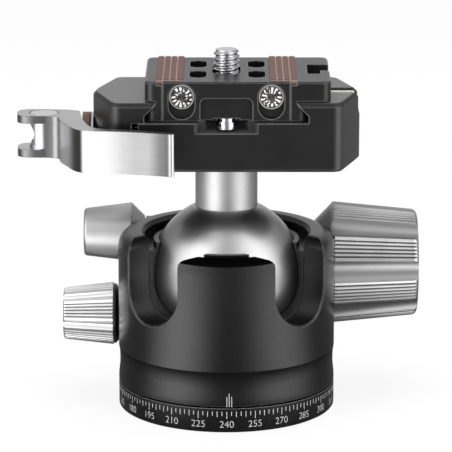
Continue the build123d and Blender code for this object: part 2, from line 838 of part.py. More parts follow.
def make_pan_pin():
    """Pin that the pan screw's point pushes down onto the base, cut at 45 degrees for the point."""
    bottom = base_thickness + pan_travel + running_gap
    top = pan_axis_height + pan_screw_radius
    pin = disc(pan_pin_radius, bottom, top, pan_pin_x, pan_axis_y)
    frame = Plane(origin=(pan_cone_apex, pan_axis_y, pan_axis_height - pan_cone_clearance),
                  x_dir=(1, 0, 1), z_dir=(-1, 0, 1))
    return split(pin, frame, keep=Keep.BOTTOM)


# ======== ball and stem ========

def make_ball():
    ball = Pos(0, 0, ball_height) * Sphere(ball_radius)
    ball = ball - disc(ball_radius, ball_flat_height, ball_height + ball_radius)
    ball = ball - disc(stem_spigot_radius, ball_flat_height - stem_spigot_length, ball_flat_height)
    return ball


def make_stem():
    post = disc(stem_radius, ball_flat_height, clamp_bottom)
    spigot = disc(stem_spigot_radius, ball_flat_height - stem_spigot_length, ball_flat_height)
    stem = post + spigot
    return stem - disc(clamp_bolt_radius, clamp_bolt_seat - clamp_bolt_length, clamp_bottom)


def make_clamp_bolt():
    head = disc(clamp_bolt_head_radius, clamp_bolt_seat, clamp_bolt_head_top)
    head = chamfer(head.edges().group_by(Axis.Z)[-1], clamp_bolt_edge_break)
    bolt = head + disc(clamp_bolt_radius, clamp_bolt_seat - clamp_bolt_length, clamp_bolt_seat)
    hexagon = extrude(RegularPolygon(clamp_bolt_socket_radius, 6), clamp_bolt_socket_depth)
    return bolt - Pos(0, 0, clamp_bolt_head_top - clamp_bolt_socket_depth) * hexagon


# ======== clamp ========

def clamp_plan():
    """Plan of the clamp with the jaw closed: long sides and a blunt nose at each end."""
    points = []
    for side in (1, -1):
        points.append((side * clamp_shoulder_x, -side * clamp_half_width))
        points.append((side * clamp_nose_x, 0))
        points.append((side * clamp_shoulder_x, side * clamp_half_width))
    outline = make_face(Polyline(*points, close=True))
    noses = [v for v in outline.vertices() if abs(v.Y) < 1]
    outline = fillet(noses, clamp_nose_round)
    corners = [v for v in outline.vertices() if abs(v.Y) > clamp_half_width - 0.1]
    return fillet(corners, clamp_corner_round)


def channel_half(side, clearance):
    """One dovetail undercut with its mouth, as a prism along Y; side is +1 or -1."""
    flat_top = plate_bottom + dovetail_flat
    reach = dovetail_half_width + clearance
    neck = dovetail_neck + clearance
    neck_height = flat_top + dovetail_undercut
    points = [(0, channel_floor), (reach, channel_floor), (reach, flat_top),
              (neck, neck_height), (neck, clamp_top + over), (0, clamp_top + over)]
    outline = Polyline(*[(side * x, 0, z) for x, z in points], close=True)
    return extrude(make_face(outline), amount=clamp_half_width + over, both=True, dir=(0, 1, 0))


def clamp_blank():
    """Outside form of body and jaw together."""
    block_up = extrude(clamp_plan(), clamp_top - clamp_bottom)
    blank = Pos(0, 0, clamp_bottom) * block_up
    blank = chamfer(blank.edges().group_by(Axis.Z)[-1], clamp_top_break)
    blank = chamfer(blank.edges().group_by(Axis.Z)[0], clamp_bottom_break)
    return blank


def groove():
    """Groove along the channel's middle, with its end edges broken."""
    half = groove_half_width
    flare = groove_edge_break
    length = clamp_half_width
    outline = Polyline(
        (-half - flare, -length), (half + flare, -length), (half, -length + flare),
        (half, length - flare), (half + flare, length), (-half - flare, length),
        (-half, length - flare), (-half, -length + flare), close=True)
    return Pos(0, 0, groove_floor) * extrude(make_face(outline), clamp_height)


def make_clamp_body():
    body = clamp_blank()
    body = body - block(-big, jaw_gap_right, -big, big, 0, big)
    floor = block(-big, 0, -big, big, channel_floor, big)
    body = body - floor - channel_half(1, jaw_clearance) - groove()
    body = body - disc(clamp_bolt_radius + part_gap, clamp_bottom - over, clamp_top)
    body = body - disc(clamp_bolt_head_radius + part_gap, clamp_bolt_seat, clamp_top)
    body = body - bar_x(rod_radius, jaw_gap_right - over, rod_inner_end, 0, rod_height)
    for y in (-guide_pin_y, guide_pin_y):
        pocket_floor = jaw_gap_right + spring_pocket_depth
        body = body - bar_x(guide_pin_radius, jaw_gap_right - over, pocket_floor + guide_pin_depth, y, rod_height)
        body = body - bar_x(spring_pocket_radius, jaw_gap_right - over, pocket_floor, y, rod_height)
    slot_start = vial_start - vial_end_gap
    slot = block(slot_start, big, -vial_slot_half_width, vial_slot_half_width, vial_axis_height, big)
    trough = bar_x(vial_slot_half_width, slot_start, clamp_nose_x + over, 0, vial_axis_height)
    return body - slot - trough


def make_jaw():
    jaw = clamp_blank()
    jaw = jaw & block(-big, -dovetail_neck + jaw_lip, -big, big, 0, big)
    under = block(jaw_gap_left, big, -big, big, 0, channel_floor)
    jaw = jaw - under - channel_half(-1, jaw_clearance)
    half = washer_radius + washer_side_gap
    jaw = jaw - block(-big, nose_face, -half, half, 0, big)
    jaw = jaw - bar_x(rod_radius + rod_jaw_clearance, -big, 0, 0, rod_height)
    for y in (-guide_pin_y, guide_pin_y):
        jaw = jaw - bar_x(guide_pin_radius + running_gap, guide_pin_tip - part_gap, 0, y, rod_height)
    return jaw


def make_guide_pins():
    inner = jaw_gap_right + guide_pin_depth + spring_pocket_depth
    pins = []
    for y in (-guide_pin_y, guide_pin_y):
        pins.append(bar_x(guide_pin_radius, guide_pin_tip, inner, y, rod_height))
    return Compound(pins)


def make_jaw_springs():
    """Coil springs round the pins, between the body's pockets and the jaw."""
    low = jaw_gap_left + spring_wire_radius + running_gap
    high = jaw_gap_right + spring_pocket_depth - spring_wire_radius - running_gap
    length = high - low
    path = Helix(pitch=length / spring_turns, height=length, radius=spring_coil_radius)
    start = path @ 0
    tangent = path % 0
    section = Plane(origin=start, z_dir=tangent) * Circle(spring_wire_radius)
    coil = sweep(section, path=path)
    springs = []
    for y in (-guide_pin_y, guide_pin_y):
        frame = Plane(origin=(low, y, rod_height), x_dir=(0, 1, 0), z_dir=(1, 0, 0))
        springs.append(frame.location * coil)
    return Compound(springs)


def make_level_vial():
    vial = bar_x(vial_radius, vial_start, vial_end, 0, vial_axis_height)
    ends = vial.edges().filter_by(GeomType.CIRCLE)
    return fillet(ends, vial_end_round)


# ======== lever and tie rod ========

def make_tie_rod():
    outer = barrel_x - sqrt(barrel_radius ** 2 - barrel_hole_radius ** 2)
    rod = bar_x(rod_radius, outer, rod_inner_end, 0, rod_height)
    return fillet(rod.edges().group_by(Axis.X)[0], rod_end_round)


def make_barrel():
    barrel = disc(barrel_radius, lever_bottom + seat_gap, lever_top, *barrel_place)
    barrel = chamfer(barrel.edges().filter_by(GeomType.CIRCLE), barrel_edge_break)
    far = 2 * barrel_radius
    mouth = bar_x(barrel_hole_radius, barrel_x - far, barrel_x - barrel_mouth_offset, 0, rod_height)
    hole = bar_x(rod_radius, barrel_x - far, barrel_x + far, 0, rod_height)
    return barrel - mouth - hole


def lever_plan():
    """Plan of the lever: ears round the barrel, a hollow by the washers, a thin front arm."""
    half = lever_ear_half_width
    back_x = barrel_x - lever_back_offset
    ear_back = (back_x, barrel_y + half)
    ear_front = (back_x, barrel_y - half)
    cheek = (lever_cam_x + lever_cheek[0], barrel_y + half - lever_cheek[1])
    cam_back = (lever_cam_x + lever_cam_back[0], lever_cam_back[1])
    cam_front = (lever_cam_x, lever_cam_front_y)
    hollow = [beside_clamp(*place) for place in lever_hollow]
    bend = beside_clamp(*lever_bend)
    inner_tip = beside_clamp(lever_tip_x, lever_tip_inner)
    outer_tip = beside_clamp(lever_tip_x, lever_tip_inner + lever_tip_thickness)
    crease = beside_clamp(*lever_crease)
    outer_curve = [beside_clamp(*place) for place in lever_outer_curve]
    neck = (lever_cam_x + lever_neck_x, barrel_y - half)
    edges = [
        Line(ear_back, cheek),
        Line(cheek, cam_back),
        Line(cam_back, cam_front),
        Spline(cam_front, *hollow, bend, tangents=[(0.05, -1), (1, -0.12)]),
        ThreePointArc(bend, beside_clamp(*lever_inner_arm), inner_tip),
        Line(inner_tip, outer_tip),
        ThreePointArc(outer_tip, beside_clamp(*lever_outer_arm), crease),
        Spline(crease, *outer_curve, neck, tangents=[(-1, 0.3), (-1, 0.1)]),
        Line(neck, ear_front),
        Spline(ear_front, (barrel_x - lever_ear_reach, barrel_y), ear_back, tangents=[(-1, 0), (1, 0)]),
    ]
    return make_face(edges)


def beside_clamp(along, beyond):
    """Place in the lever's plan, from its cam face and from the clamp's front side."""
    return lever_cam_x + along, -clamp_half_width - beyond


def make_lever():
    lever = Pos(0, 0, lever_bottom) * extrude(lever_plan(), lever_height)
    slot_low = lever_bottom + lever_ear
    slot_high = lever_top - lever_ear
    lever = lever - block(-big, barrel_x + lever_slot_offset, -big, big, slot_low, slot_high)
    rod_side = -rod_radius - lever_rod_clearance
    lever = lever - block(-big, 0, rod_side, clamp_half_width, slot_low, slot_high)
    lever = lever - disc(barrel_radius + running_gap, 0, big, *barrel_place)
    tip = lever.edges().filter_by(Axis.Z).group_by(Axis.X)[-1]
    return fillet(tip, lever_tip_round)


def make_washer(outer_face, inner_face, hole):
    washer = bar_x(washer_radius, outer_face, inner_face, 0, rod_height)
    return washer - bar_x(hole, outer_face, inner_face, 0, rod_height)


# ======== quick-release plate ========

def make_plate():
    plan = RectangleRounded(plate_width, 2 * plate_half_length, plate_corner_round)
    slab = Pos(plate_centre_x, 0, slab_bottom) * extrude(plan, slab_thickness)
    slab = chamfer(slab.edges().group_by(Axis.Z)[-1], slab_edge_break)
    flat_top = plate_bottom + dovetail_flat
    neck_height = flat_top + dovetail_undercut
    points = [(dovetail_half_width, plate_bottom), (dovetail_half_width, flat_top),
              (dovetail_neck, neck_height), (dovetail_neck, slab_bottom)]
    mirrored = [(-x, z) for x, z in reversed(points)]
    outline = Polyline(*[(x, 0, z) for x, z in points + mirrored], close=True)
    tail = extrude(make_face(outline), amount=plate_half_length, both=True, dir=(0, 1, 0))
    trim = RectangleRounded(2 * dovetail_half_width, 2 * plate_half_length, 2 * dovetail_end_trim)
    tail = tail & Pos(0, 0, plate_bottom) * extrude(trim, plate_thickness)
    plate = slab + tail
    half = stop_half_width + seat_gap
    plate = plate - block(-half, half, -big, plate_front, 0, big)
    for left in strip_lefts:
        plate = plate - block(left, left + strip_width, -big, big, plate_top - strip_depth, big)
    for x in lightening_columns:
        for y in lightening_rows:
            hole = Pos(x, y, 0) * SlotOverall(lightening_length, lightening_width, rotation=90)
            plate = plate - extrude(hole, big)
    slot_length = 2 * (screw_travel + screw_slot_half_width)
    slot = SlotOverall(slot_length, 2 * screw_slot_half_width, rotation=90)
    plate = plate - extrude(slot, big)
    plate = plate - screw_recess(screw_recess_clearance)
    plate = plate - strap_slot()
    relief_top = plate_bottom + safety_relief_height
    half = safety_relief_half_width
    for side in (1, -1):
        shank_end = plate_bottom + safety_shank_length
        plate = plate - disc(safety_shank_radius, plate_bottom, shank_end, 0, side * safety_y)
        low, high = sorted((side * safety_relief_start, side * big))
        plate = plate - block(-half, half, low, high, plate_bottom - over, relief_top)
    for x in (-stop_screw_x, stop_screw_x):
        shank_end = plate_front + stop_screw_shank_length
        plate = plate - stop_screw_hole(stop_screw_shank_radius, plate_front - over, shank_end, x)
    return plate


def screw_recess(clearance):
    """Space under the slab in which the camera screw's head turns and slides."""
    half = screw_head_radius + clearance
    shape = SlotOverall(2 * (half + screw_travel), 2 * half, rotation=90)
    return Pos(0, 0, plate_bottom - over) * extrude(shape, screw_recess_height + over)


def strap_slot():
    low = slab_bottom - over
    gap = block(strap_slot_left, strap_slot_right, strap_slot_front, strap_slot_rear, low, big)
    mouth = block(strap_slot_left, big, strap_mouth_front, strap_slot_rear, low, big)
    return gap + mouth


def stop_screw_hole(radius, y_start, y_end, x):
    length = y_end - y_start
    middle = (y_start + y_end) / 2
    return Pos(x, middle, stop_screw_height) * Rot(90, 0, 0) * Cylinder(radius, length)


def make_grip_strips():
    """Two ribbed strips in the slab's grooves."""
    rib = strip_width / strip_ribs
    front = plate_front + strip_margin
    rear = plate_half_length - strip_margin
    half = strip_groove_width / 2
    strip_top = plate_top + strip_proud
    strips = []
    for left in strip_lefts:
        strip = block(left, left + strip_width, front, rear, plate_top - strip_depth, strip_top)
        for index in range(1, strip_ribs):
            x = left + index * rib
            strip = strip - block(x - half, x + half, -big, big, strip_top - strip_groove_depth, big)
        strips.append(strip)
    return Compound(strips)


def make_safety_screws():
    screws = []
    for y in (-safety_y, safety_y):
        top = safety_head_top
        screw = disc(safety_head_radius, top - safety_head_height, top, 0, y)
        screw = fillet(screw.edges().group_by(Axis.Z)[0], safety_head_round)
        screw = screw + disc(safety_neck_radius, top, plate_bottom + safety_relief_height, 0, y)
        screw = screw + disc(safety_shank_radius, top, plate_bottom + safety_shank_length, 0, y)
        screws.append(screw)
    return Compound(screws)


def make_stop_screws():
    front = -plate_half_length + stop_screw_head_inset
    screws = []
    for x in (-stop_screw_x, stop_screw_x):
        head = stop_screw_hole(stop_screw_head_radius, front, plate_front, x)
        head = fillet(head.edges().group_by(Axis.Y)[0], stop_screw_head_round)
        head = head - stop_screw_hole(stop_screw_socket_radius, front - over, front + stop_screw_socket_depth, x)
        shank_end = plate_front + stop_screw_shank_length
        shank = stop_screw_hole(stop_screw_shank_radius, plate_front, shank_end, x)
        screws.append(head + shank)
    return Compound(screws)


def make_stop():
    """Sliding lip in the plate's front end."""
    frame = Plane(origin=(0, -plate_half_length, 0), x_dir=(1, 0, 0), z_dir=(0, 1, 0))
    # this frame's Y runs downwards, so heights enter with a minus sign
    height = plate_top - plate_bottom
    middle = -(plate_top + plate_bottom) / 2
    face = Pos(0, middle) * Rectangle(2 * stop_half_width, height)
    radius = stop_screw_head_radius + stop_slot_clearance
    for x in (-stop_screw_x, stop_screw_x):
        upper = Pos(x, -stop_screw_height) * Circle(radius)
        lower = Pos(x, -stop_screw_height + stop_travel) * Circle(radius)
        link = Pos(x, -stop_screw_height + stop_travel / 2) * Rectangle(2 * radius, stop_travel)
        face = face - upper - lower - link
    arch = RectangleRounded(2 * arch_half_width, 2 * arch_height, arch_round)
    face = face - Pos(0, -plate_bottom) * arch
    stop = extrude(frame * face, stop_thickness)
    top_front = stop.edges().filter_by(Axis.X).group_by(Axis.Z)[-1].group_by(Axis.Y)[0]
    return chamfer(top_front, stop_edge_break)


def make_camera_screw():
    bottom = plate_bottom + screw_head_lift
    head_top = bottom + screw_head_height
    head = disc(screw_head_radius, bottom, head_top)
    head = chamfer(head.edges().group_by(Axis.Z)[0], screw_head_edge_break)
    neck = disc(screw_neck_radius, head_top, plate_top + screw_thread_start)
    thread = disc(screw_radius, plate_top + screw_thread_start, plate_top + screw_rise)
    thread = chamfer(thread.edges().group_by(Axis.Z)[-1], screw_end_break)
    screw = head + neck + thread
    half = screw_driver_width / 2
    driver = block(-big, big, -half, half, 0, bottom + screw_driver_depth)
    return screw - driver


def make_screw_slider():
    """Washer that keeps the camera screw in its slot."""
    low = plate_bottom + screw_head_lift + screw_head_height + running_gap
    high = low + slider_thickness
    return ring(screw_head_radius, screw_radius + running_gap, low, high)


def main():
    os.makedirs("parts", exist_ok=True)
    bearing_top = base_thickness + bearing_thickness
    rod_hole = rod_radius + rod_jaw_clearance
    save(make_base(), "base")
    save(make_tripod_insert(), "tripod_insert")
    save(make_retaining_plate(), "retaining_plate")
    save(make_retaining_screws(), "retaining_screws")
    save(ring(bearing_outer_radius, bearing_inner_radius, base_thickness, bearing_top), "pan_bearing_washer")
    save(ring(retainer_radius - seat_gap, hub_radius + running_gap, floor_top, hub_top), "pan_thrust_washer")
    save(make_housing(), "housing")
    save(make_liner(), "ball_liner")
    save(make_seat_spring(), "seat_spring")
    save(make_lock_bush(), "lock_bush")
    save(make_pan_collar(), "pan_lock_collar")
    save(make_seat(), "ball_seat")
    save(make_lock_knob(), "lock_knob")
    save(make_lock_screw(), "lock_screw")
    save(make_lock_slug(), "lock_slug")
    save(make_drag_knob(), "friction_knob")
    save(make_drag_screw(), "friction_screw")
    save(make_drag_slug(), "friction_slug")
    save(make_pan_knob(), "pan_knob")
    save(make_pan_screw(), "pan_screw")
    save(make_pan_pin(), "pan_brake_pin")
    save(make_ball(), "ball")
    save(make_stem(), "stem")
    save(make_clamp_bolt(), "clamp_bolt")
    save(make_clamp_body(), "clamp_body")
    save(make_guide_pins(), "jaw_guide_pins")
    save(make_jaw_springs(), "jaw_springs")
    save(make_tie_rod(), "tie_rod")
    save(make_barrel(), "lever_barrel")
    save(make_level_vial(), "level_vial")
    save(make_jaw(), "moving_jaw")
    save(make_washer(thrust_washer_outer, dark_ring_outer, rod_hole), "thrust_washer")
    save(make_washer(dark_ring_outer, thin_ring_outer, rod_hole), "spacer_ring")
    save(make_washer(thin_ring_outer, nose_face, rod_hole), "steel_washer")
    save(make_lever(), "clamp_lever")
    save(make_plate(), "release_plate")
    save(make_grip_strips(), "grip_strips")
    save(make_safety_screws(), "safety_screws")
    save(make_stop_screws(), "stop_screws")
    save(make_stop(), "anti_twist_stop")
    save(make_screw_slider(), "screw_slider")
    save(make_camera_screw(), "camera_screw")


main()
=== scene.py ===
import json
import math

import bmesh
import bpy
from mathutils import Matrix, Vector


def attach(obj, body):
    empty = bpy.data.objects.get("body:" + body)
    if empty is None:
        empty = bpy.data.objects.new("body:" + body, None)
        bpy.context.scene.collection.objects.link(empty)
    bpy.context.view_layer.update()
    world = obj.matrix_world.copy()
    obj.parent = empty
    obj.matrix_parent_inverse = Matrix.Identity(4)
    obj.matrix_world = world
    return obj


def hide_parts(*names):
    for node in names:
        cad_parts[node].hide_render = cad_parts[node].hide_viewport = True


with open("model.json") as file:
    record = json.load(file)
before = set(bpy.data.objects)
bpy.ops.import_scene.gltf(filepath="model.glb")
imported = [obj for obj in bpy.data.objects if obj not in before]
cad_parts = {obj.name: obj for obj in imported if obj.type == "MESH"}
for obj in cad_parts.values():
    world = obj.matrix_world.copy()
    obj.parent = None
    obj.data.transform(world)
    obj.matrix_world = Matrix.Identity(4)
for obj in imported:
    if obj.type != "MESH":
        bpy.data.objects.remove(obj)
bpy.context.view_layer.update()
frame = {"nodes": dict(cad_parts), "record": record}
mm = 0.001


# ---- camera, lamps, floor and world ----

studio = {
    "cameraPlace": (-0.0001, -0.73554, 0.226245),
    "cameraPitch": 76.05,         # degrees from straight down
    "cameraLens": 252.7,
    "sensorWidth": 36.0,
    "clipStart": 0.01,
    "clipEnd": 50.0,
    "sideLampPower": 4.0,
    "sideLampSize": (0.34, 0.9),
    "sideLampPlaces": ((-0.62, -0.62, 0.45), (0.62, -0.62, 0.45)),
    "topLampPower": 7.0,
    "topLampSize": (0.9, 0.7),
    "topLampPlace": (0.0, 0.05, 0.95),
    "lampTarget": (0.0, 0.0, 0.045),
    "ambient": 0.45,
    "floorWidth": 12.0,
    "floorColour": (0.92, 0.92, 0.92),
    "floorGlow": 0.87,            # share of the floor's white that shadow can't darken
}

# painted reflections: what polished parts see round the object, by the turn from the front in degrees, with
# soft lamps painted into the sky and the floor
glow = {
    "floorLobes": ((-45.0, 40.0, 3.3), (52.0, 42.0, 2.2)),   # turn, width and strength of each painted soft lamp
    "skyLobes": ((-58.0, 54.0, 2.9), (60.0, 54.0, 2.3)),
    "lobeTop": (55.0, 80.0),      # elevations between which the lamps end
    "nearGrey": 0.14,             # floor close to the object, darker: painted shade in reflections
    "farGrey": 0.30,              # floor far off, and the sky near the floor
    "nearReach": 60.0,            # mm
    "farReach": 240.0,
    "lampReach": (42.0, 56.0),    # mm, where the lamps begin on the floor
    "backStart": 138.0,
    "backFull": 172.0,
    "back": 0.95,
    "overheadStart": 12.0,        # elevation
    "overheadFull": 48.0,
    "overhead": 0.72,
}


def aimAt(obj, target):
    direction = Vector(target) - obj.location
    obj.rotation_euler = direction.to_track_quat("-Z", "Y").to_euler()


def placeCamera():
    data = bpy.data.cameras.new("camera")
    data.lens = studio["cameraLens"]
    data.sensor_width = studio["sensorWidth"]
    data.clip_start = studio["clipStart"]
    data.clip_end = studio["clipEnd"]
    camera = bpy.data.objects.new("camera", data)
    camera.location = studio["cameraPlace"]
    camera.rotation_euler = (math.radians(studio["cameraPitch"]), 0.0, 0.0)
    bpy.context.scene.collection.objects.link(camera)
    bpy.context.scene.camera = camera


def areaLamp(name, place, size, power):
    data = bpy.data.lights.new(name, "AREA")
    data.shape = "RECTANGLE"
    data.size, data.size_y = size
    data.energy = power
    lamp = bpy.data.objects.new(name, data)
    lamp.location = place
    lamp.visible_glossy = False   # the world and the floor give the painted reflections
    aimAt(lamp, studio["lampTarget"])
    bpy.context.scene.collection.objects.link(lamp)


def feed(tree, socket, value):
    # a number or a colour is set on the socket, and another node's socket is linked to it
    if isinstance(value, (int, float)):
        socket.default_value = value
    elif isinstance(value, tuple):
        socket.default_value = (*value, 1.0)
    else:
        tree.links.new(value, socket)


def mathOf(tree, operation, first, second=None):
    node = tree.nodes.new("ShaderNodeMath")
    node.operation = operation
    feed(tree, node.inputs[0], first)
    if second is not None:
        feed(tree, node.inputs[1], second)
    return node.outputs[0]


def lengthOf(tree, first, second):
    squares = [mathOf(tree, "MULTIPLY", side, side) for side in (first, second)]
    return mathOf(tree, "SQRT", mathOf(tree, "ADD", *squares))


def mapRange(tree, value, low, high, toLow, toHigh, kind="LINEAR"):
    node = tree.nodes.new("ShaderNodeMapRange")
    node.interpolation_type = kind
    node.inputs["From Min"].default_value = low
    node.inputs["From Max"].default_value = high
    node.inputs["To Min"].default_value = toLow
    node.inputs["To Max"].default_value = toHigh
    tree.links.new(value, node.inputs["Value"])
    return node.outputs[0]


def splitVector(tree, vector):
    split = tree.nodes.new("ShaderNodeSeparateXYZ")
    tree.links.new(vector, split.inputs[0])
    return split.outputs


# painted reflections: grey round the object, painted soft lamps as lobes, painted shade on the floor near
# the object
def aroundGlow(tree, vector, onFloor):
    x, y, z = splitVector(tree, vector)
    turn = mathOf(tree, "ARCTAN2", x, mathOf(tree, "MULTIPLY", y, -1.0))
    lamps = None
    for place, width, strength in glow["floorLobes" if onFloor else "skyLobes"]:
        off = mathOf(tree, "ABSOLUTE", mathOf(tree, "SUBTRACT", turn, math.radians(place)))
        lobe = mapRange(tree, off, 0.0, math.radians(width), strength, 0.0, "SMOOTHSTEP")
        lamps = lobe if lamps is None else mathOf(tree, "ADD", lamps, lobe)
    away = mathOf(tree, "ABSOLUTE", turn)
    back = mapRange(tree, away, math.radians(glow["backStart"]), math.radians(glow["backFull"]),
                    0.0, glow["back"], "SMOOTHSTEP")
    level = lengthOf(tree, x, y)
    if onFloor:
        grey = mapRange(tree, level, glow["nearReach"] * mm, glow["farReach"] * mm,
                        glow["nearGrey"], glow["farGrey"], "SMOOTHSTEP")
        shown = mapRange(tree, level, glow["lampReach"][0] * mm, glow["lampReach"][1] * mm, 0.0, 1.0)
    else:
        rise = mathOf(tree, "ARCTAN2", z, level)
        grey = mapRange(tree, rise, math.radians(glow["overheadStart"]), math.radians(glow["overheadFull"]),
                        glow["farGrey"], glow["overhead"], "SMOOTHSTEP")
        shown = mapRange(tree, rise, math.radians(glow["lobeTop"][0]), math.radians(glow["lobeTop"][1]),
                         1.0, 0.0)
    lamps = mathOf(tree, "MULTIPLY", lamps, shown)
    return mathOf(tree, "MAXIMUM", mathOf(tree, "ADD", grey, lamps), back)


def mixValue(tree, factor, first, second):
    node = tree.nodes.new("ShaderNodeMix")
    node.data_type = "FLOAT"
    tree.links.new(factor, node.inputs[0])
    feed(tree, node.inputs[2], first)
    feed(tree, node.inputs[3], second)
    return node.outputs[0]


def seenDirectly(tree, path):
    return mathOf(tree, "MAXIMUM", path.outputs["Is Camera Ray"], path.outputs["Is Transmission Ray"])


def paintWorld():
    world = bpy.data.worlds.new("studioWorld")
    bpy.context.scene.world = world
    world.use_nodes = True
    tree = world.node_tree
    tree.nodes.clear()
    output = tree.nodes.new("ShaderNodeOutputWorld")
    background = tree.nodes.new("ShaderNodeBackground")
    tree.links.new(background.outputs[0], output.inputs[0])
    path = tree.nodes.new("ShaderNodeLightPath")
    place = tree.nodes.new("ShaderNodeTexCoord")
    around = aroundGlow(tree, place.outputs["Generated"], False)
    strength = mixValue(tree, path.outputs["Is Glossy Ray"], studio["ambient"], around)
    tree.links.new(mixValue(tree, seenDirectly(tree, path), strength, 1.0), background.inputs["Strength"])


def layFloor():
    half = studio["floorWidth"] / 2
    mesh = bpy.data.meshes.new("floor")
    mesh.from_pydata([(-half, -half, 0), (half, -half, 0), (half, half, 0), (-half, half, 0)],
                     [], [(0, 1, 2, 3)])
    floor = bpy.data.objects.new("floor", mesh)
    bpy.context.scene.collection.objects.link(floor)
    material = bpy.data.materials.new("paleFloor")
    material.use_nodes = True
    tree = material.node_tree
    tree.nodes.clear()
    output = tree.nodes.new("ShaderNodeOutputMaterial")
    diffuse = tree.nodes.new("ShaderNodeBsdfDiffuse")
    diffuse.inputs["Color"].default_value = (*studio["floorColour"], 1.0)
    shine = tree.nodes.new("ShaderNodeEmission")
    mix = tree.nodes.new("ShaderNodeMixShader")
    path = tree.nodes.new("ShaderNodeLightPath")
    place = tree.nodes.new("ShaderNodeTexCoord")
    # for glossy rays the floor glows with the painted soft lamps and painted shade
    around = aroundGlow(tree, place.outputs["Object"], True)
    shown = seenDirectly(tree, path)
    tree.links.new(mixValue(tree, shown, around, 1.0), shine.inputs["Strength"])
    share = mathOf(tree, "MAXIMUM", mathOf(tree, "MULTIPLY", shown, studio["floorGlow"]),
                   path.outputs["Is Glossy Ray"])
    tree.links.new(share, mix.inputs[0])
    tree.links.new(diffuse.outputs[0], mix.inputs[1])
    tree.links.new(shine.outputs[0], mix.inputs[2])
    tree.links.new(mix.outputs[0], output.inputs[0])
    mesh.materials.append(material)


bpy.context.scene.view_settings.view_transform = "Standard"
placeCamera()
paintWorld()
layFloor()
for index, place in enumerate(studio["sideLampPlaces"]):
    areaLamp("sideLamp%d" % index, place, studio["sideLampSize"], studio["sideLampPower"])
areaLamp("topLamp", studio["topLampPlace"], studio["topLampSize"], studio["topLampPower"])
print("stage: camera, lamps, floor and world")


# ---- finishes ----

# edge: share by which broken edges are coloured lighter, edge wear and painted highlight together
finishes = {
    "blackAnodised": {"colour": (0.0062, 0.0062, 0.0068), "metallic": 0.0, "specular": 0.50,
                      "roughness": 0.32, "spread": 0.10, "grain": (3600, 3600, 3600), "bump": 0.45,
                      "edge": 0.24, "edgeRadius": 0.50},
    "blackTurned": {"colour": (0.0052, 0.0052, 0.0056), "metallic": 0.0, "specular": 0.50,
                    "roughness": 0.30, "spread": 0.08, "grain": (2400, 2400, 4200), "bump": 0.35,
                    "edge": 0.34, "edgeRadius": 0.26},
    "gunmetal": {"colour": (0.53, 0.53, 0.535), "metallic": 1.0, "specular": 0.5,
                 "roughness": 0.36, "spread": 0.05, "grain": (3200, 3200, 3200), "bump": 0.35,
                 "edge": 0.0, "edgeRadius": 0.15},
    "brightTurned": {"colour": (0.50, 0.50, 0.505), "metallic": 1.0, "specular": 0.5,
                     "roughness": 0.47, "spread": 0.03, "grain": (2200, 2200, 2200), "bump": 0.12,
                     "edge": 0.0, "edgeRadius": 0.15},
    "titaniumGrey": {"colour": (0.60, 0.60, 0.60), "metallic": 1.0, "specular": 0.5,
                     "roughness": 0.36, "spread": 0.06, "grain": (3000, 3000, 3000), "bump": 0.40,
                     "edge": 0.22, "edgeRadius": 0.16},
    "titaniumPale": {"colour": (0.94, 0.94, 0.94), "metallic": 1.0, "specular": 0.5,
                     "roughness": 0.36, "spread": 0.04, "grain": (3000, 3000, 3000), "bump": 0.35,
                     "edge": 0.12, "edgeRadius": 0.16},
    "titaniumTurned": {"colour": (0.50, 0.50, 0.50), "metallic": 1.0, "specular": 0.5,
                       "roughness": 0.44, "spread": 0.06, "grain": (3600, 2400, 2400), "bump": 0.40,
                       "edge": 0.10, "edgeRadius": 0.20},
    "polishedSteel": {"colour": (0.66, 0.66, 0.68), "metallic": 1.0, "specular": 0.5,
                      "roughness": 0.15, "spread": 0.04, "grain": (1800, 1800, 1800), "bump": 0.02,
                      "edge": 0.0, "edgeRadius": 0.10},
    "brassMachined": {"colour": (0.72, 0.55, 0.27), "metallic": 1.0, "specular": 0.5,
                      "roughness": 0.28, "spread": 0.05, "grain": (5000, 60, 60), "bump": 0.10,
                      "edge": 0.0, "edgeRadius": 0.10},
    "blackPolymer": {"colour": (0.0070, 0.0070, 0.0075), "metallic": 0.0, "specular": 0.45,
                     "roughness": 0.30, "spread": 0.05, "grain": (1200, 1200, 1200), "bump": 0.05,
                     "edge": 0.14, "edgeRadius": 0.20},
    "whiteAcetal": {"colour": (0.75, 0.75, 0.72), "metallic": 0.0, "specular": 0.45,
                    "roughness": 0.42, "spread": 0.04, "grain": (900, 900, 900), "bump": 0.08,
                    "edge": 0.0, "edgeRadius": 0.10},
    "brownPolymer": {"colour": (0.125, 0.058, 0.040), "metallic": 0.0, "specular": 0.45,
                     "roughness": 0.40, "spread": 0.08, "grain": (1500, 1500, 1500), "bump": 0.10,
                     "edge": 0.06, "edgeRadius": 0.15},
}

# shared by all finishes
surfaceLook = {
    "cloudScale": (90, 90, 90),   # slow change of tone over a whole piece
    "cloudDetail": 2.0,
    "toneSpread": 2.5,            # darkest and lightest tone, in spreads
    "noiseSpan": (0.3, 0.7),      # part of the noise's range that makes a full change
    "grainSpan": (0.25, 0.75),    # the same for the roughness of machined parts
    "wear": (0.97, 0.80),         # cosine between rounded and true normal: plain, full edge colour
    "bevelSamples": 6,
    "smoother": 0.05,
    "rougher": 0.06,
    "bumpDistance": 0.02,         # mm
}

# painted highlight on the clamp: lighter colour on its level tops and broken upright corners
clampSheen = {
    "top": 0.065,
    "topFacing": (0.75, 0.95),    # upright part of the normal: side, top
    "corner": 0.035,
    "cornerSlant": (0.20, 0.40),  # product of the normal's X and Y: side, corner
}
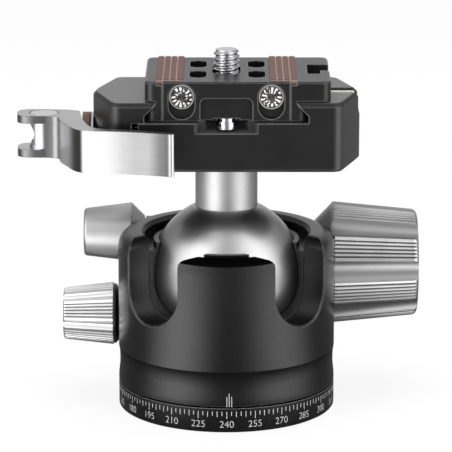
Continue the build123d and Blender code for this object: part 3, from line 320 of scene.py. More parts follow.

# knobs with ribs: axis, two places along it with their radii, and the flutes left clean; painted shade
# darkens the flutes, the grooves between the ribs and the cone towards the housing
ribbed = {
    "lock_knob": {"axis": (14.0, 31.1), "from": (26.0, 14.75), "to": (46.3, 12.8), "out": 1.0,
                  "lobes": 8, "fluteAngle": 21.0, "firstFlute": -4.5, "ribDepth": 0.35,
                  "finish": "titaniumGrey", "paintedFluteShade": 0.66, "paintedGrooveShade": 0.16, "paintedConeShade": 0.34,
                  "coneReach": 1.0},
    "pan_knob": {"axis": (9.0, 19.5), "from": (-27.4, 7.6), "to": (-39.5, 6.25), "out": -1.0,
                 "lobes": 6, "fluteAngle": 18.0, "firstFlute": -9.0, "ribDepth": 0.30,
                 "finish": "titaniumPale", "paintedFluteShade": 0.95, "paintedGrooveShade": 0.20, "paintedConeShade": 0.60,
                 "coneReach": 1.0},
}
ribMask = {
    "flutePast": 0.4,             # degrees of a flute's edge that count as flute
    "deepFrom": 0.25,             # share of the rib depth where the painted shade begins
    "deepTo": 0.95,
    "sideFacing": (0.35, 0.5),    # axial part of the normal: still the side, no more the side
}

waist = {
    "foot": 7.0,                  # mm, where the shallow hollow round the housing ends
    "deepest": 10.9,
    "top": 14.7,
    "depth": 0.30,
    "cuts": 14,
    "crisp": 0.06,
    "wallReach": 0.03,            # mm, how near to the wall's radius a point belongs to it
    "shade": 0.95,                # painted shade: share of the reflections taken away at the hollow's top
}

# painted shade: the front lip's inner part is coloured black, a dark arch beside the ball
paintedLipShade = {
    "front": -14.0,               # mm, only what lies before this
    "foot": 39.85,                # mm, at the middle
    "blur": 0.1,
    "curve": -0.003,              # with the square of X, lifts the arch's foot towards the lip's ends
    "colour": (0.002, 0.002, 0.002),
}


def newMaterial(name):
    material = bpy.data.materials.new(name)
    material.use_nodes = True
    tree = material.node_tree
    tree.nodes.clear()
    output = tree.nodes.new("ShaderNodeOutputMaterial")
    shader = tree.nodes.new("ShaderNodeBsdfPrincipled")
    tree.links.new(shader.outputs[0], output.inputs[0])
    return material, tree, shader


def mixColour(tree, factor, first, second):
    node = tree.nodes.new("ShaderNodeMix")
    node.data_type = "RGBA"
    tree.links.new(factor, node.inputs[0])
    feed(tree, node.inputs[6], first)
    feed(tree, node.inputs[7], second)
    return node.outputs[2]


def toned(colour, share):
    return tuple(max(0.0, min(1.0, part * share)) for part in colour)


def grainNoise(tree, scale, detail=3.0):
    place = tree.nodes.new("ShaderNodeTexCoord")
    mapping = tree.nodes.new("ShaderNodeMapping")
    mapping.inputs["Scale"].default_value = scale
    tree.links.new(place.outputs["Object"], mapping.inputs["Vector"])
    noise = tree.nodes.new("ShaderNodeTexNoise")
    noise.inputs["Scale"].default_value = 1.0
    noise.inputs["Detail"].default_value = detail
    tree.links.new(mapping.outputs[0], noise.inputs["Vector"])
    return noise.outputs["Fac"]


def objectPlace(tree):
    return splitVector(tree, tree.nodes.new("ShaderNodeTexCoord").outputs["Object"])


def trueNormal(tree):
    return splitVector(tree, tree.nodes.new("ShaderNodeNewGeometry").outputs["True Normal"])


def roundedNormal(tree, radius):
    bevel = tree.nodes.new("ShaderNodeBevel")
    bevel.samples = surfaceLook["bevelSamples"]
    bevel.inputs["Radius"].default_value = radius * mm
    return bevel.outputs[0]


def edgeWear(tree, rounded):
    # 1 on edges, where the rounded normal leaves the true one
    surface = tree.nodes.new("ShaderNodeNewGeometry")
    dot = tree.nodes.new("ShaderNodeVectorMath")
    dot.operation = "DOT_PRODUCT"
    tree.links.new(rounded, dot.inputs[0])
    tree.links.new(surface.outputs["True Normal"], dot.inputs[1])
    return mapRange(tree, dot.outputs["Value"], *surfaceLook["wear"], 0.0, 1.0)


def addBump(tree, shader, grain, strength, distance, rounded=None):
    bump = tree.nodes.new("ShaderNodeBump")
    bump.inputs["Strength"].default_value = strength
    bump.inputs["Distance"].default_value = distance * mm
    tree.links.new(grain, bump.inputs["Height"])
    if rounded:
        tree.links.new(rounded, bump.inputs["Normal"])
    tree.links.new(bump.outputs[0], shader.inputs["Normal"])


def roughen(tree, shader, grain, span, smooth, rough):
    tree.links.new(mapRange(tree, grain, *surfaceLook[span], smooth, rough), shader.inputs["Roughness"])


def grooveShade(tree, knob):
    # masks of painted shade: first 1 deep between the ribs, then 1 in the flutes
    x, y, z = objectPlace(tree)
    front = mathOf(tree, "SUBTRACT", knob["axis"][0] * mm, y)
    down = mathOf(tree, "MULTIPLY", mathOf(tree, "SUBTRACT", knob["axis"][1] * mm, z), knob["out"])
    (startX, startRadius), (endX, endRadius) = knob["from"], knob["to"]
    full = mapRange(tree, x, startX * mm, endX * mm, startRadius * mm, endRadius * mm)
    depth = mathOf(tree, "SUBTRACT", full, lengthOf(tree, front, down))
    turn = mathOf(tree, "ARCTAN2", down, front)
    offset = math.radians(knob["firstFlute"] - knob["fluteAngle"] / 2)
    step = 2 * math.pi / knob["lobes"]
    along = mathOf(tree, "FLOORED_MODULO", mathOf(tree, "SUBTRACT", turn, offset), step)
    onRibs = mathOf(tree, "GREATER_THAN", along, math.radians(knob["fluteAngle"] + ribMask["flutePast"]))
    facing = mathOf(tree, "ABSOLUTE", trueNormal(tree)[0])
    onSide = mapRange(tree, facing, *ribMask["sideFacing"], 1.0, 0.0)
    ribDepth = knob["ribDepth"] * mm
    deep = mapRange(tree, depth, ribMask["deepFrom"] * ribDepth, ribMask["deepTo"] * ribDepth, 0.0, 1.0)
    flute = mathOf(tree, "MULTIPLY", mathOf(tree, "SUBTRACT", 1.0, onRibs), onSide)
    return mathOf(tree, "MULTIPLY", mathOf(tree, "MULTIPLY", deep, onRibs), onSide), flute


def shadeKnob(tree, colour, base, knob):
    deep, flute = grooveShade(tree, knob)
    colour = mixColour(tree, flute, colour, toned(base, knob["paintedFluteShade"]))
    colour = mixColour(tree, deep, colour, toned(base, knob["paintedGrooveShade"]))
    # painted shade: the cone towards the housing is darker
    start = knob["from"][0] * mm
    inner = start - knob["out"] * knob["coneReach"] * mm
    cone = mapRange(tree, objectPlace(tree)[0], inner, start, 1.0, 0.0)
    return mixColour(tree, cone, colour, toned(base, knob["paintedConeShade"]))


def lightenClamp(tree, colour):
    # painted highlight: broken upright corners and level tops are coloured lighter than the sides, for the
    # light they catch
    x, y, z = trueNormal(tree)
    slant = mathOf(tree, "ABSOLUTE", mathOf(tree, "MULTIPLY", x, y))
    corner = mapRange(tree, slant, *clampSheen["cornerSlant"], 0.0, 1.0)
    level = mapRange(tree, z, *clampSheen["topFacing"], 0.0, 1.0)
    colour = mixColour(tree, level, colour, (clampSheen["top"],) * 3)
    return mixColour(tree, corner, colour, (clampSheen["corner"],) * 3)


def darkenHousing(tree, shader, colour, specular):
    # painted shade: the shallow hollow loses its reflections towards its top, and the lip's inner part is
    # coloured black
    x, y, height = objectPlace(tree)
    share = mapRange(tree, height, waist["deepest"] * mm, waist["top"] * mm, 0.0, waist["shade"])
    below = mathOf(tree, "LESS_THAN", height, waist["top"] * mm)
    shaded = mathOf(tree, "MULTIPLY", share, below)
    front = mathOf(tree, "LESS_THAN", y, paintedLipShade["front"] * mm)
    drop = mathOf(tree, "MULTIPLY", mathOf(tree, "MULTIPLY", x, x), paintedLipShade["curve"] / mm)
    arch = mathOf(tree, "ADD", height, drop)
    lipShade = mapRange(tree, arch, paintedLipShade["foot"] * mm, (paintedLipShade["foot"] + paintedLipShade["blur"]) * mm, 0.0, 1.0)
    lipShade = mathOf(tree, "MULTIPLY", lipShade, front)
    shaded = mathOf(tree, "MAXIMUM", shaded, lipShade)
    tree.links.new(mapRange(tree, shaded, 0.0, 1.0, specular, 0.0), shader.inputs["Specular IOR Level"])
    return mixColour(tree, lipShade, colour, paintedLipShade["colour"])


def makeFinish(name, label=None, place=None):
    look = finishes[name]
    material, tree, shader = newMaterial(label or name)
    grain = grainNoise(tree, look["grain"])
    cloud = grainNoise(tree, surfaceLook["cloudScale"], surfaceLook["cloudDetail"])
    base = look["colour"]
    swing = surfaceLook["toneSpread"] * look["spread"]
    share = mapRange(tree, cloud, *surfaceLook["noiseSpan"], 0.0, 1.0)
    colour = mixColour(tree, share, toned(base, 1 - swing), toned(base, 1 + swing))
    rounded = roundedNormal(tree, look["edgeRadius"])
    # edge wear and painted highlight: broken edges are coloured lighter
    if look["edge"]:
        wornAndLit = tuple(min(1.0, part + look["edge"]) for part in base)
        colour = mixColour(tree, edgeWear(tree, rounded), colour, wornAndLit)
    shader.inputs["Metallic"].default_value = look["metallic"]
    shader.inputs["Specular IOR Level"].default_value = look["specular"]
    # painted shade in the knobs' grooves, flutes and cone
    if place in ribbed:
        colour = shadeKnob(tree, colour, base, ribbed[place])
    # painted highlights on the clamp's level tops and upright corners
    if place == "clamp":
        colour = lightenClamp(tree, colour)
    # painted shade on the housing: reflections taken from the hollow, the front lip's inner part coloured
    # black
    if place == "housing":
        colour = darkenHousing(tree, shader, colour, look["specular"])
    tree.links.new(colour, shader.inputs["Base Color"])
    smooth, rough = look["roughness"] - surfaceLook["smoother"], look["roughness"] + surfaceLook["rougher"]
    roughen(tree, shader, grain, "grainSpan", smooth, rough)
    addBump(tree, shader, grain, look["bump"], surfaceLook["bumpDistance"], rounded)
    return material


materials = {name: makeFinish(name) for name in finishes}
materials["clampBlack"] = makeFinish("blackAnodised", "clampBlack", "clamp")
materials["housingBlack"] = makeFinish("blackTurned", "housingBlack", "housing")
for knob, shape in ribbed.items():
    materials[knob] = makeFinish(shape["finish"], knob + "Metal", knob)

stripLook = {
    "rubber": (0.105, 0.050, 0.040),
    "darkest": 0.82,
    "line": (0.42, 0.28, 0.25),   # paler ground between the ribs
    "lineHeight": 81.80,          # mm, below this height the ground shows
    "lineBlur": 0.02,
    "grain": (1400, 1400, 1400),
    "roughness": (0.48, 0.62),
    "bump": 0.3,
    "bumpDistance": 0.03,
}


def makeStripMaterial():
    material, tree, shader = newMaterial("ribbedRubber")
    height, blur = stripLook["lineHeight"] * mm, stripLook["lineBlur"] * mm
    low = mapRange(tree, objectPlace(tree)[2], height - blur, height + blur, 1.0, 0.0)
    grain = grainNoise(tree, stripLook["grain"])
    shade = toned(stripLook["rubber"], stripLook["darkest"])
    share = mapRange(tree, grain, *surfaceLook["noiseSpan"], 0.0, 1.0)
    rubber = mixColour(tree, share, shade, stripLook["rubber"])
    tree.links.new(mixColour(tree, low, rubber, stripLook["line"]), shader.inputs["Base Color"])
    roughen(tree, shader, grain, "noiseSpan", *stripLook["roughness"])
    addBump(tree, shader, grain, stripLook["bump"], stripLook["bumpDistance"])
    return material


# painted reflections on the stop screw heads: dark face, bright facets and rim
fanLook = {
    "centre": (10.4, 78.05),      # mm, the same on both sides
    "spokes": 13,
    "dark": (0.02, 0.019, 0.018),
    "bright": (0.95, 0.93, 0.90),
    "rim": (2.55, 2.75),
    "rimShare": 0.55,
    "spokeEdge": (-0.2, 0.25),    # of the wave round the head: dark, bright
    "fleckFrom": 0.95,
    "fleckTo": 2.35,
    "fleckBlur": 0.1,
    "grain": (1500, 1500, 1500),
    "cut": 0.45,                  # noise below this leaves a fleck dark
    "cutBlur": 0.05,
    "front": -15.15,              # mm, the heads' flat face
    "proud": 0.02,
    "fanRadius": 2.4,
    "pleat": 0.11,
    "roughness": (0.28, 0.40),
    "metallic": 0.1,
}


def makeFanMaterial():
    # stop screw heads: painted reflection, a dark dished face with bright radial facets and a bright rim
    # painted in as highlights
    material, tree, shader = newMaterial("fanHead")
    x, y, z = objectPlace(tree)
    across = mathOf(tree, "SUBTRACT", mathOf(tree, "ABSOLUTE", x), fanLook["centre"][0] * mm)
    up = mathOf(tree, "SUBTRACT", z, fanLook["centre"][1] * mm)
    reach = lengthOf(tree, across, up)
    turn = mathOf(tree, "ARCTAN2", across, up)
    wave = mathOf(tree, "SINE", mathOf(tree, "MULTIPLY", turn, float(fanLook["spokes"])))
    spokes = mapRange(tree, wave, *fanLook["spokeEdge"], 0.0, 1.0)
    grain = grainNoise(tree, fanLook["grain"], 1.0)
    flecks = mapRange(tree, grain, fanLook["cut"], fanLook["cut"] + fanLook["cutBlur"], 0.0, 1.0)
    start, end, blur = fanLook["fleckFrom"] * mm, fanLook["fleckTo"] * mm, fanLook["fleckBlur"] * mm
    inside = mapRange(tree, reach, end, end + blur, 1.0, 0.0)
    outside = mapRange(tree, reach, start - blur, start, 0.0, 1.0)
    fan = mathOf(tree, "MULTIPLY", mathOf(tree, "MULTIPLY", spokes, flecks),
                 mathOf(tree, "MULTIPLY", inside, outside))
    rim = mapRange(tree, reach, fanLook["rim"][0] * mm, fanLook["rim"][1] * mm, 0.0, fanLook["rimShare"])
    share = mathOf(tree, "MAXIMUM", fan, rim)
    tree.links.new(mixColour(tree, share, fanLook["dark"], fanLook["bright"]), shader.inputs["Base Color"])
    roughen(tree, shader, grain, "noiseSpan", *fanLook["roughness"])
    shader.inputs["Metallic"].default_value = fanLook["metallic"]
    return material


leverLook = {
    "from": -50.0,                # mm along the lever
    "to": -12.0,
    # share of that length, and the side's grey there, a painted sheen of reflections
    "sheenTones": ((0.0, 0.24), (0.18, 0.09), (0.235, 0.10), (0.258, 0.36), (0.272, 0.66), (0.31, 0.98),
              (0.347, 0.85), (0.385, 0.16), (0.425, 0.05), (0.462, 0.82), (0.50, 0.98), (0.54, 0.86),
              (0.61, 0.66), (0.69, 0.42), (0.76, 0.31), (0.84, 0.27), (0.91, 0.12), (0.96, 0.08),
              (1.0, 0.24)),
    "blue": 1.01,                 # the tones' blue beside their red and green
    "top": (0.56, 0.56, 0.57),
    "topFacing": (0.4, 0.7),      # upright part of the normal: side, top
    "edge": (0.16, 0.16, 0.165),
    "edgeRadius": 0.22,
    "grain": (160, 160, 2600),
    "roughness": (0.28, 0.40),
    "bump": 0.12,
}


def makeLeverMaterial():
    # long brushed sides with a painted sheen, light and dark bands of painted reflection along the lever;
    # darker broken edges
    material, tree, shader = newMaterial("brushedLever")
    ramp = tree.nodes.new("ShaderNodeValToRGB")
    stops = ramp.color_ramp.elements
    for index, (spot, tone) in enumerate(leverLook["sheenTones"]):
        stop = stops[0] if index == 0 else stops.new(spot)
        stop.position = spot
        stop.color = (tone, tone, tone * leverLook["blue"], 1.0)
    stops.remove(stops[-1])
    along = mapRange(tree, objectPlace(tree)[0], leverLook["from"] * mm, leverLook["to"] * mm, 0.0, 1.0)
    tree.links.new(along, ramp.inputs[0])
    flat = mathOf(tree, "ABSOLUTE", trueNormal(tree)[2])
    onTop = mapRange(tree, flat, *leverLook["topFacing"], 0.0, 1.0)
    colour = mixColour(tree, onTop, ramp.outputs[0], leverLook["top"])
    rounded = roundedNormal(tree, leverLook["edgeRadius"])
    colour = mixColour(tree, edgeWear(tree, rounded), colour, leverLook["edge"])
    tree.links.new(colour, shader.inputs["Base Color"])
    grain = grainNoise(tree, leverLook["grain"])
    roughen(tree, shader, grain, "grainSpan", *leverLook["roughness"])
    shader.inputs["Metallic"].default_value = 1.0
    addBump(tree, shader, grain, leverLook["bump"], surfaceLook["bumpDistance"], rounded)
    return material


vialLook = {"colour": (0.62, 0.66, 0.52), "lightest": 1.12, "cloud": (300, 300, 300), "roughness": 0.08,
            "transmission": 0.35, "coat": 0.5}


def makeVialMaterial():
    material, tree, shader = newMaterial("vialGlass")
    cloud = grainNoise(tree, vialLook["cloud"])
    pale = toned(vialLook["colour"], vialLook["lightest"])
    tree.links.new(mixColour(tree, cloud, vialLook["colour"], pale), shader.inputs["Base Color"])
    shader.inputs["Roughness"].default_value = vialLook["roughness"]
    shader.inputs["Transmission Weight"].default_value = vialLook["transmission"]
    shader.inputs["Coat Weight"].default_value = vialLook["coat"]
    return material


fillLook = {"dark": (0.58, 0.58, 0.58), "light": (0.72, 0.72, 0.72), "grain": (2500, 2500, 2500),
            "roughness": (0.45, 0.6)}


def makeFill():
    # white paint of the dial's marks and the index
    material, tree, shader = newMaterial("whiteFill")
    grain = grainNoise(tree, fillLook["grain"])
    tree.links.new(mixColour(tree, grain, fillLook["dark"], fillLook["light"]), shader.inputs["Base Color"])
    roughen(tree, shader, grain, "noiseSpan", *fillLook["roughness"])
    return material


materials["ribbedRubber"] = makeStripMaterial()
materials["vialGlass"] = makeVialMaterial()
materials["fanHead"] = makeFanMaterial()
materials["brushedLever"] = makeLeverMaterial()
materials["whiteFill"] = makeFill()
print("stage: %d finishes" % len(materials))


# ---- solids from the frame, merged, shaded and finished ----

wear = {
    "base": "blackTurned", "housing": "housingBlack", "ball_liner": "blackPolymer",
    "ball_seat": "blackPolymer", "pan_lock_collar": "blackTurned", "lock_bush": "brassMachined",
    "seat_spring": "polishedSteel",
    "lock_slug": "blackPolymer", "friction_slug": "blackPolymer", "lock_knob": "lock_knob",
    "friction_knob": "titaniumTurned", "pan_knob": "pan_knob", "lock_screw": "polishedSteel",
    "friction_screw": "polishedSteel", "pan_screw": "polishedSteel", "pan_brake_pin": "polishedSteel",
    "pan_bearing_washer": "whiteAcetal", "pan_thrust_washer": "whiteAcetal",
    "retaining_plate": "polishedSteel", "retaining_screws": "polishedSteel",
    "tripod_insert": "polishedSteel", "ball": "gunmetal",
    "stem": "brightTurned", "clamp_bolt": "polishedSteel", "clamp_body": "clampBlack",
    "jaw_guide_pins": "polishedSteel", "jaw_springs": "polishedSteel", "tie_rod": "polishedSteel",
    "lever_barrel": "polishedSteel", "level_vial": "vialGlass", "moving_jaw": "clampBlack",
    "thrust_washer": "brownPolymer", "spacer_ring": "blackPolymer", "steel_washer": "polishedSteel",
    "clamp_lever": "brushedLever", "release_plate": "blackAnodised", "grip_strips": "ribbedRubber",
    "safety_screws": "polishedSteel", "stop_screws": "fanHead", "anti_twist_stop": "blackAnodised",
    "screw_slider": "polishedSteel",
}
solidLook = {
    "mergeReach": 0.002,          # mm
    "smoothBelow": 28.0,          # degrees between two faces
}
bodyOf = {}
for body, members in frame["record"]["behaviour"]["bodies"].items():
    for member in members:
        bodyOf[member] = body


def mergedCopy(node):
    mesh = frame["nodes"][node].data.copy()
    mesh.name = node + "_finished"
    spare = mesh.attributes.get("custom_normal")
    if spare:
        mesh.attributes.remove(spare)
    shape = bmesh.new()
    shape.from_mesh(mesh)
    bmesh.ops.remove_doubles(shape, verts=shape.verts, dist=solidLook["mergeReach"] * mm)
    shape.to_mesh(mesh)
    shape.free()
    return mesh


def shadeByAngle(mesh, degrees):
    mesh.polygons.foreach_set("use_smooth", [True] * len(mesh.polygons))
    mesh.set_sharp_from_angle(angle=math.radians(degrees))
    mesh.update()


def addPiece(name, mesh, material, body):
    mesh.materials.clear()
    mesh.materials.append(materials[material])
    piece = bpy.data.objects.new(name, mesh)
    bpy.context.scene.collection.objects.link(piece)
    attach(piece, body)
    return piece


def waistInset(height):
    # sharp at the hollow's top, fading out towards its foot
    if height >= waist["top"] or height <= waist["foot"]:
        return 0.0
    if height >= waist["deepest"]:
        share = (height - waist["deepest"]) / (waist["top"] - waist["deepest"])
        return waist["depth"] * (1 - share ** 3)
    share = (height - waist["foot"]) / (waist["deepest"] - waist["foot"])
    return waist["depth"] * share * share * (3 - 2 * share)


def hollowWall(mesh, radius):
    shape = bmesh.new()
    shape.from_mesh(mesh)
    rise = waist["top"] - waist["foot"]
    heights = [waist["foot"] + rise * cut / waist["cuts"] for cut in range(waist["cuts"] + 1)]
    # one more close above the top keeps its edge crisp
    for height in heights + [waist["top"] + waist["crisp"]]:
        bmesh.ops.bisect_plane(shape, geom=shape.verts[:] + shape.edges[:] + shape.faces[:],
                               plane_co=(0, 0, height * mm), plane_no=(0, 0, 1))
    for vertex in shape.verts:
        reach = math.hypot(vertex.co.x, vertex.co.y)
        inset = waistInset(vertex.co.z / mm) * mm
        if inset and abs(reach - radius) < waist["wallReach"] * mm:
            vertex.co.x *= (reach - inset) / reach
            vertex.co.y *= (reach - inset) / reach
    shape.to_mesh(mesh)
    shape.free()


def pullWall(mesh, radius, depth):
    # takes the round wall in a little, so that marks can lie on it
    for vertex in mesh.vertices:
        reach = math.hypot(vertex.co.x, vertex.co.y)
        if abs(reach - radius) < dial["wallReach"] * mm:
            share = (radius - depth) / reach
            vertex.co.x *= share
            vertex.co.y *= share


def dressNode(node, pull=0.0):
    mesh = mergedCopy(node)
    if pull:
        pullWall(mesh, dial["radius"] * mm, pull * mm)
    if node == "housing":
        hollowWall(mesh, (dial["radius"] - pull) * mm)
    shadeByAngle(mesh, solidLook["smoothBelow"])
    piece = addPiece(node + "_finished", mesh, wear[node], bodyOf[node])
    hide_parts(node)


# ---- geometry node helpers ----

def newTree(name, sizes):
    # one named input for each size, a whole number or a length
    tree = bpy.data.node_groups.new(name, "GeometryNodeTree")
    tree.interface.new_socket("Geometry", in_out="INPUT", socket_type="NodeSocketGeometry")
    for label, value in sizes.items():
        kind = "NodeSocketInt" if isinstance(value, int) else "NodeSocketFloat"
        socket = tree.interface.new_socket(label, in_out="INPUT", socket_type=kind)
        socket.default_value = value
    tree.interface.new_socket("Geometry", in_out="OUTPUT", socket_type="NodeSocketGeometry")
    inputs = tree.nodes.new("NodeGroupInput")
    outputs = tree.nodes.new("NodeGroupOutput")
    return tree, inputs, outputs


def combine(tree, x, y, z):
    node = tree.nodes.new("ShaderNodeCombineXYZ")
    for slot, value in enumerate((x, y, z)):
        feed(tree, node.inputs[slot], value)
    return node.outputs[0]


def finishTree(tree, geometry, outputs, material):
    # every tree ends in Realize Instances and Set Material
    realize = tree.nodes.new("GeometryNodeRealizeInstances")
    dress = tree.nodes.new("GeometryNodeSetMaterial")
    dress.inputs["Material"].default_value = material
    tree.links.new(geometry, realize.inputs[0])
    tree.links.new(realize.outputs[0], dress.inputs["Geometry"])
    tree.links.new(dress.outputs[0], outputs.inputs[0])


def growMesh(name, tree, sizes):
    # runs the tree on an empty mesh and keeps the result as a plain mesh
    seed = bpy.data.objects.new(name + "Seed", bpy.data.meshes.new(name + "Seed"))
    bpy.context.scene.collection.objects.link(seed)
    modifier = seed.modifiers.new(name, "NODES")
    modifier.node_group = tree
    for item in tree.interface.items_tree:
        if item.in_out == "INPUT" and item.name in sizes:
            modifier[item.identifier] = sizes[item.name]
    depsgraph = bpy.context.evaluated_depsgraph_get()
    mesh = bpy.data.meshes.new_from_object(seed.evaluated_get(depsgraph))
    mesh.name = name
    bpy.data.objects.remove(seed)
    return mesh


# ---- dial: ticks, numbers and the index on the housing ----

dial = {
    "radius": 25.9,
    "inset": 0.02,                # how far the wall is taken in under the marks
    "wallReach": 0.01,            # how near to the wall's radius a point belongs to it
    "numberSink": 0.3,            # share of the inset that numbers and index lie inside the radius
    "tickSink": 0.6,              # share of their depth that the ticks' middle lies inside it
    "tickTop": 5.17,
    "longTick": 1.74,
    "mediumTick": 1.30,
    "shortTick": 1.00,
    "longEvery": 6,
    "mediumEvery": 2,
    "tickWidth": 0.15,
    "tickCount": 144,
    "numberSize": 2.35,           # text size that gives digits 1.65 mm tall
    "numberHeight": 1.30,         # of the digits' foot
    "numberThinning": 0.035,
    "numberStep": 15,
    "frontNumber": 240,
    "frontTurn": 0.18,            # degrees
    "indexPlaces": (0.65, 0.10, 1.24),
    "indexTops": (9.54, 8.75, 8.75),
    "indexFoot": 6.35,
    "indexWidth": 0.15,
    "indexRows": 8,
}


def growTicks():
    sizes = {
        "Radius": dial["radius"] * mm, "Top": dial["tickTop"] * mm, "Long": dial["longTick"] * mm,
        "Medium": dial["mediumTick"] * mm, "Short": dial["shortTick"] * mm, "Width": dial["tickWidth"] * mm,
        "Depth": 2 * dial["inset"] * mm, "Count": dial["tickCount"], "Turn": math.radians(dial["frontTurn"])}
    tree, inputs, outputs = newTree("dialTicks", sizes)
    index = tree.nodes.new("GeometryNodeInputIndex").outputs[0]
    step = mathOf(tree, "DIVIDE", 2 * math.pi, inputs.outputs["Count"])
    angle = mathOf(tree, "ADD", mathOf(tree, "MULTIPLY", index, step), inputs.outputs["Turn"])
    isLong = mathOf(tree, "LESS_THAN", mathOf(tree, "MODULO", index, dial["longEvery"]), 0.5)
    isMedium = mathOf(tree, "LESS_THAN", mathOf(tree, "MODULO", index, dial["mediumEvery"]), 0.5)
    plain = mathOf(tree, "MULTIPLY", mathOf(tree, "SUBTRACT", 1.0, isMedium), inputs.outputs["Short"])
    middle = mathOf(tree, "MULTIPLY", isMedium, inputs.outputs["Medium"])
    length = mathOf(tree, "MAXIMUM", mathOf(tree, "ADD", plain, middle),
                    mathOf(tree, "MULTIPLY", isLong, inputs.outputs["Long"]))
    reach = mathOf(tree, "SUBTRACT", inputs.outputs["Radius"],
                   mathOf(tree, "MULTIPLY", inputs.outputs["Depth"], dial["tickSink"]))
    height = mathOf(tree, "SUBTRACT", inputs.outputs["Top"], mathOf(tree, "MULTIPLY", length, 0.5))
    spot = combine(tree, mathOf(tree, "MULTIPLY", reach, mathOf(tree, "SINE", angle)),
                   mathOf(tree, "MULTIPLY", mathOf(tree, "MULTIPLY", reach, -1.0),
                          mathOf(tree, "COSINE", angle)), height)
    points = tree.nodes.new("GeometryNodePoints")
    tree.links.new(inputs.outputs["Count"], points.inputs["Count"])
    tree.links.new(spot, points.inputs["Position"])
    cube = tree.nodes.new("GeometryNodeMeshCube")
    cube.inputs["Size"].default_value = (1, 1, 1)
    copies = tree.nodes.new("GeometryNodeInstanceOnPoints")
    tree.links.new(points.outputs[0], copies.inputs["Points"])
    tree.links.new(cube.outputs["Mesh"], copies.inputs["Instance"])
    turn = tree.nodes.new("FunctionNodeEulerToRotation")
    tree.links.new(combine(tree, 0.0, 0.0, angle), turn.inputs[0])
    tree.links.new(turn.outputs[0], copies.inputs["Rotation"])
    tree.links.new(combine(tree, inputs.outputs["Width"], inputs.outputs["Depth"], length),
                   copies.inputs["Scale"])
    finishTree(tree, copies.outputs[0], outputs, materials["whiteFill"])
    return growMesh("dialTicks", tree, sizes)


def bendOnWall(mesh, radius, angle, foot):
    # lays a flat XY shape on the round wall, its X round the wall and its Y upwards
    for vertex in mesh.vertices:
        around = angle + vertex.co.x / radius
        height = foot + vertex.co.y
        reach = radius - waistInset(height / mm) * mm
        vertex.co = (reach * math.sin(around), -reach * math.cos(around), height)


def markRadius():
    return (dial["radius"] - dial["numberSink"] * dial["inset"]) * mm


def flatText(text, size):
    curve = bpy.data.curves.new("dialText", "FONT")
    curve.body = text
    curve.size = size
    curve.align_x = "CENTER"
    curve.offset = -dial["numberThinning"] * mm
    holder = bpy.data.objects.new("dialText", curve)
    bpy.context.scene.collection.objects.link(holder)
    depsgraph = bpy.context.evaluated_depsgraph_get()
    mesh = bpy.data.meshes.new_from_object(holder.evaluated_get(depsgraph))
    bpy.data.objects.remove(holder)
    return mesh


def joinMeshes(name, parts):
    whole = bmesh.new()
    for part in parts:
        whole.from_mesh(part)
    mesh = bpy.data.meshes.new(name)
    whole.to_mesh(mesh)
    whole.free()
    return mesh


def makeNumbers():
    parts = []
    for number in range(0, 360, dial["numberStep"]):
        part = flatText(str(number), dial["numberSize"] * mm)
        angle = math.radians(number - dial["frontNumber"] + dial["frontTurn"])
        bendOnWall(part, markRadius(), angle, dial["numberHeight"] * mm)
        parts.append(part)
    return joinMeshes("dialNumbers", parts)


def makeIndex():
    parts = []
    half = dial["indexWidth"] / 2 * mm
    rows = dial["indexRows"]
    for place, top in zip(dial["indexPlaces"], dial["indexTops"]):
        tall = (top - dial["indexFoot"]) * mm
        part = bpy.data.meshes.new("indexLine")
        spots = [(side * half, tall * row / rows, 0) for row in range(rows + 1) for side in (-1, 1)]
        faces = [(2 * row, 2 * row + 1, 2 * row + 3, 2 * row + 2) for row in range(rows)]
        part.from_pydata(spots, [], faces)
        bendOnWall(part, markRadius(), place / dial["radius"], dial["indexFoot"] * mm)
        parts.append(part)
    return joinMeshes("panIndex", parts)


# ---- pleated faces of the stop screws ----

def growFans():
    # four points round the rim for each spoke, every second one raised
    sizes = {
        "Radius": fanLook["fanRadius"] * mm, "Pleat": fanLook["pleat"] * mm, "Proud": fanLook["proud"] * mm,
        "Across": fanLook["centre"][0] * mm, "Height": fanLook["centre"][1] * mm,
        "Front": fanLook["front"] * mm, "Points": 4 * fanLook["spokes"]}
    tree, inputs, outputs = newTree("screwFans", sizes)
    disc = tree.nodes.new("GeometryNodeMeshCircle")
    disc.fill_type = "TRIANGLE_FAN"
    tree.links.new(inputs.outputs["Points"], disc.inputs["Vertices"])
    tree.links.new(inputs.outputs["Radius"], disc.inputs["Radius"])
    spot = tree.nodes.new("GeometryNodeInputPosition")
    x, y, z = splitVector(tree, spot.outputs[0])
    index = tree.nodes.new("GeometryNodeInputIndex").outputs[0]
    raised = mathOf(tree, "MULTIPLY", mathOf(tree, "MODULO", index, 2.0), inputs.outputs["Pleat"])
    forward = mathOf(tree, "MULTIPLY", mathOf(tree, "ADD", raised, inputs.outputs["Proud"]), -1.0)
    place = tree.nodes.new("GeometryNodeSetPosition")
    tree.links.new(disc.outputs["Mesh"], place.inputs["Geometry"])
    tree.links.new(combine(tree, x, forward, y), place.inputs["Position"])
    points = tree.nodes.new("GeometryNodePoints")
    points.inputs["Count"].default_value = 2
    order = tree.nodes.new("GeometryNodeInputIndex").outputs[0]
    side = mathOf(tree, "SUBTRACT", mathOf(tree, "MULTIPLY", order, 2.0), 1.0)
    across = mathOf(tree, "MULTIPLY", side, inputs.outputs["Across"])
    tree.links.new(combine(tree, across, inputs.outputs["Front"], inputs.outputs["Height"]),
                   points.inputs["Position"])
    copies = tree.nodes.new("GeometryNodeInstanceOnPoints")
    tree.links.new(points.outputs[0], copies.inputs["Points"])
    tree.links.new(place.outputs[0], copies.inputs["Instance"])
    finishTree(tree, copies.outputs[0], outputs, materials["fanHead"])
    return growMesh("screwFans", tree, sizes)


# ---- camera screw with its thread ----

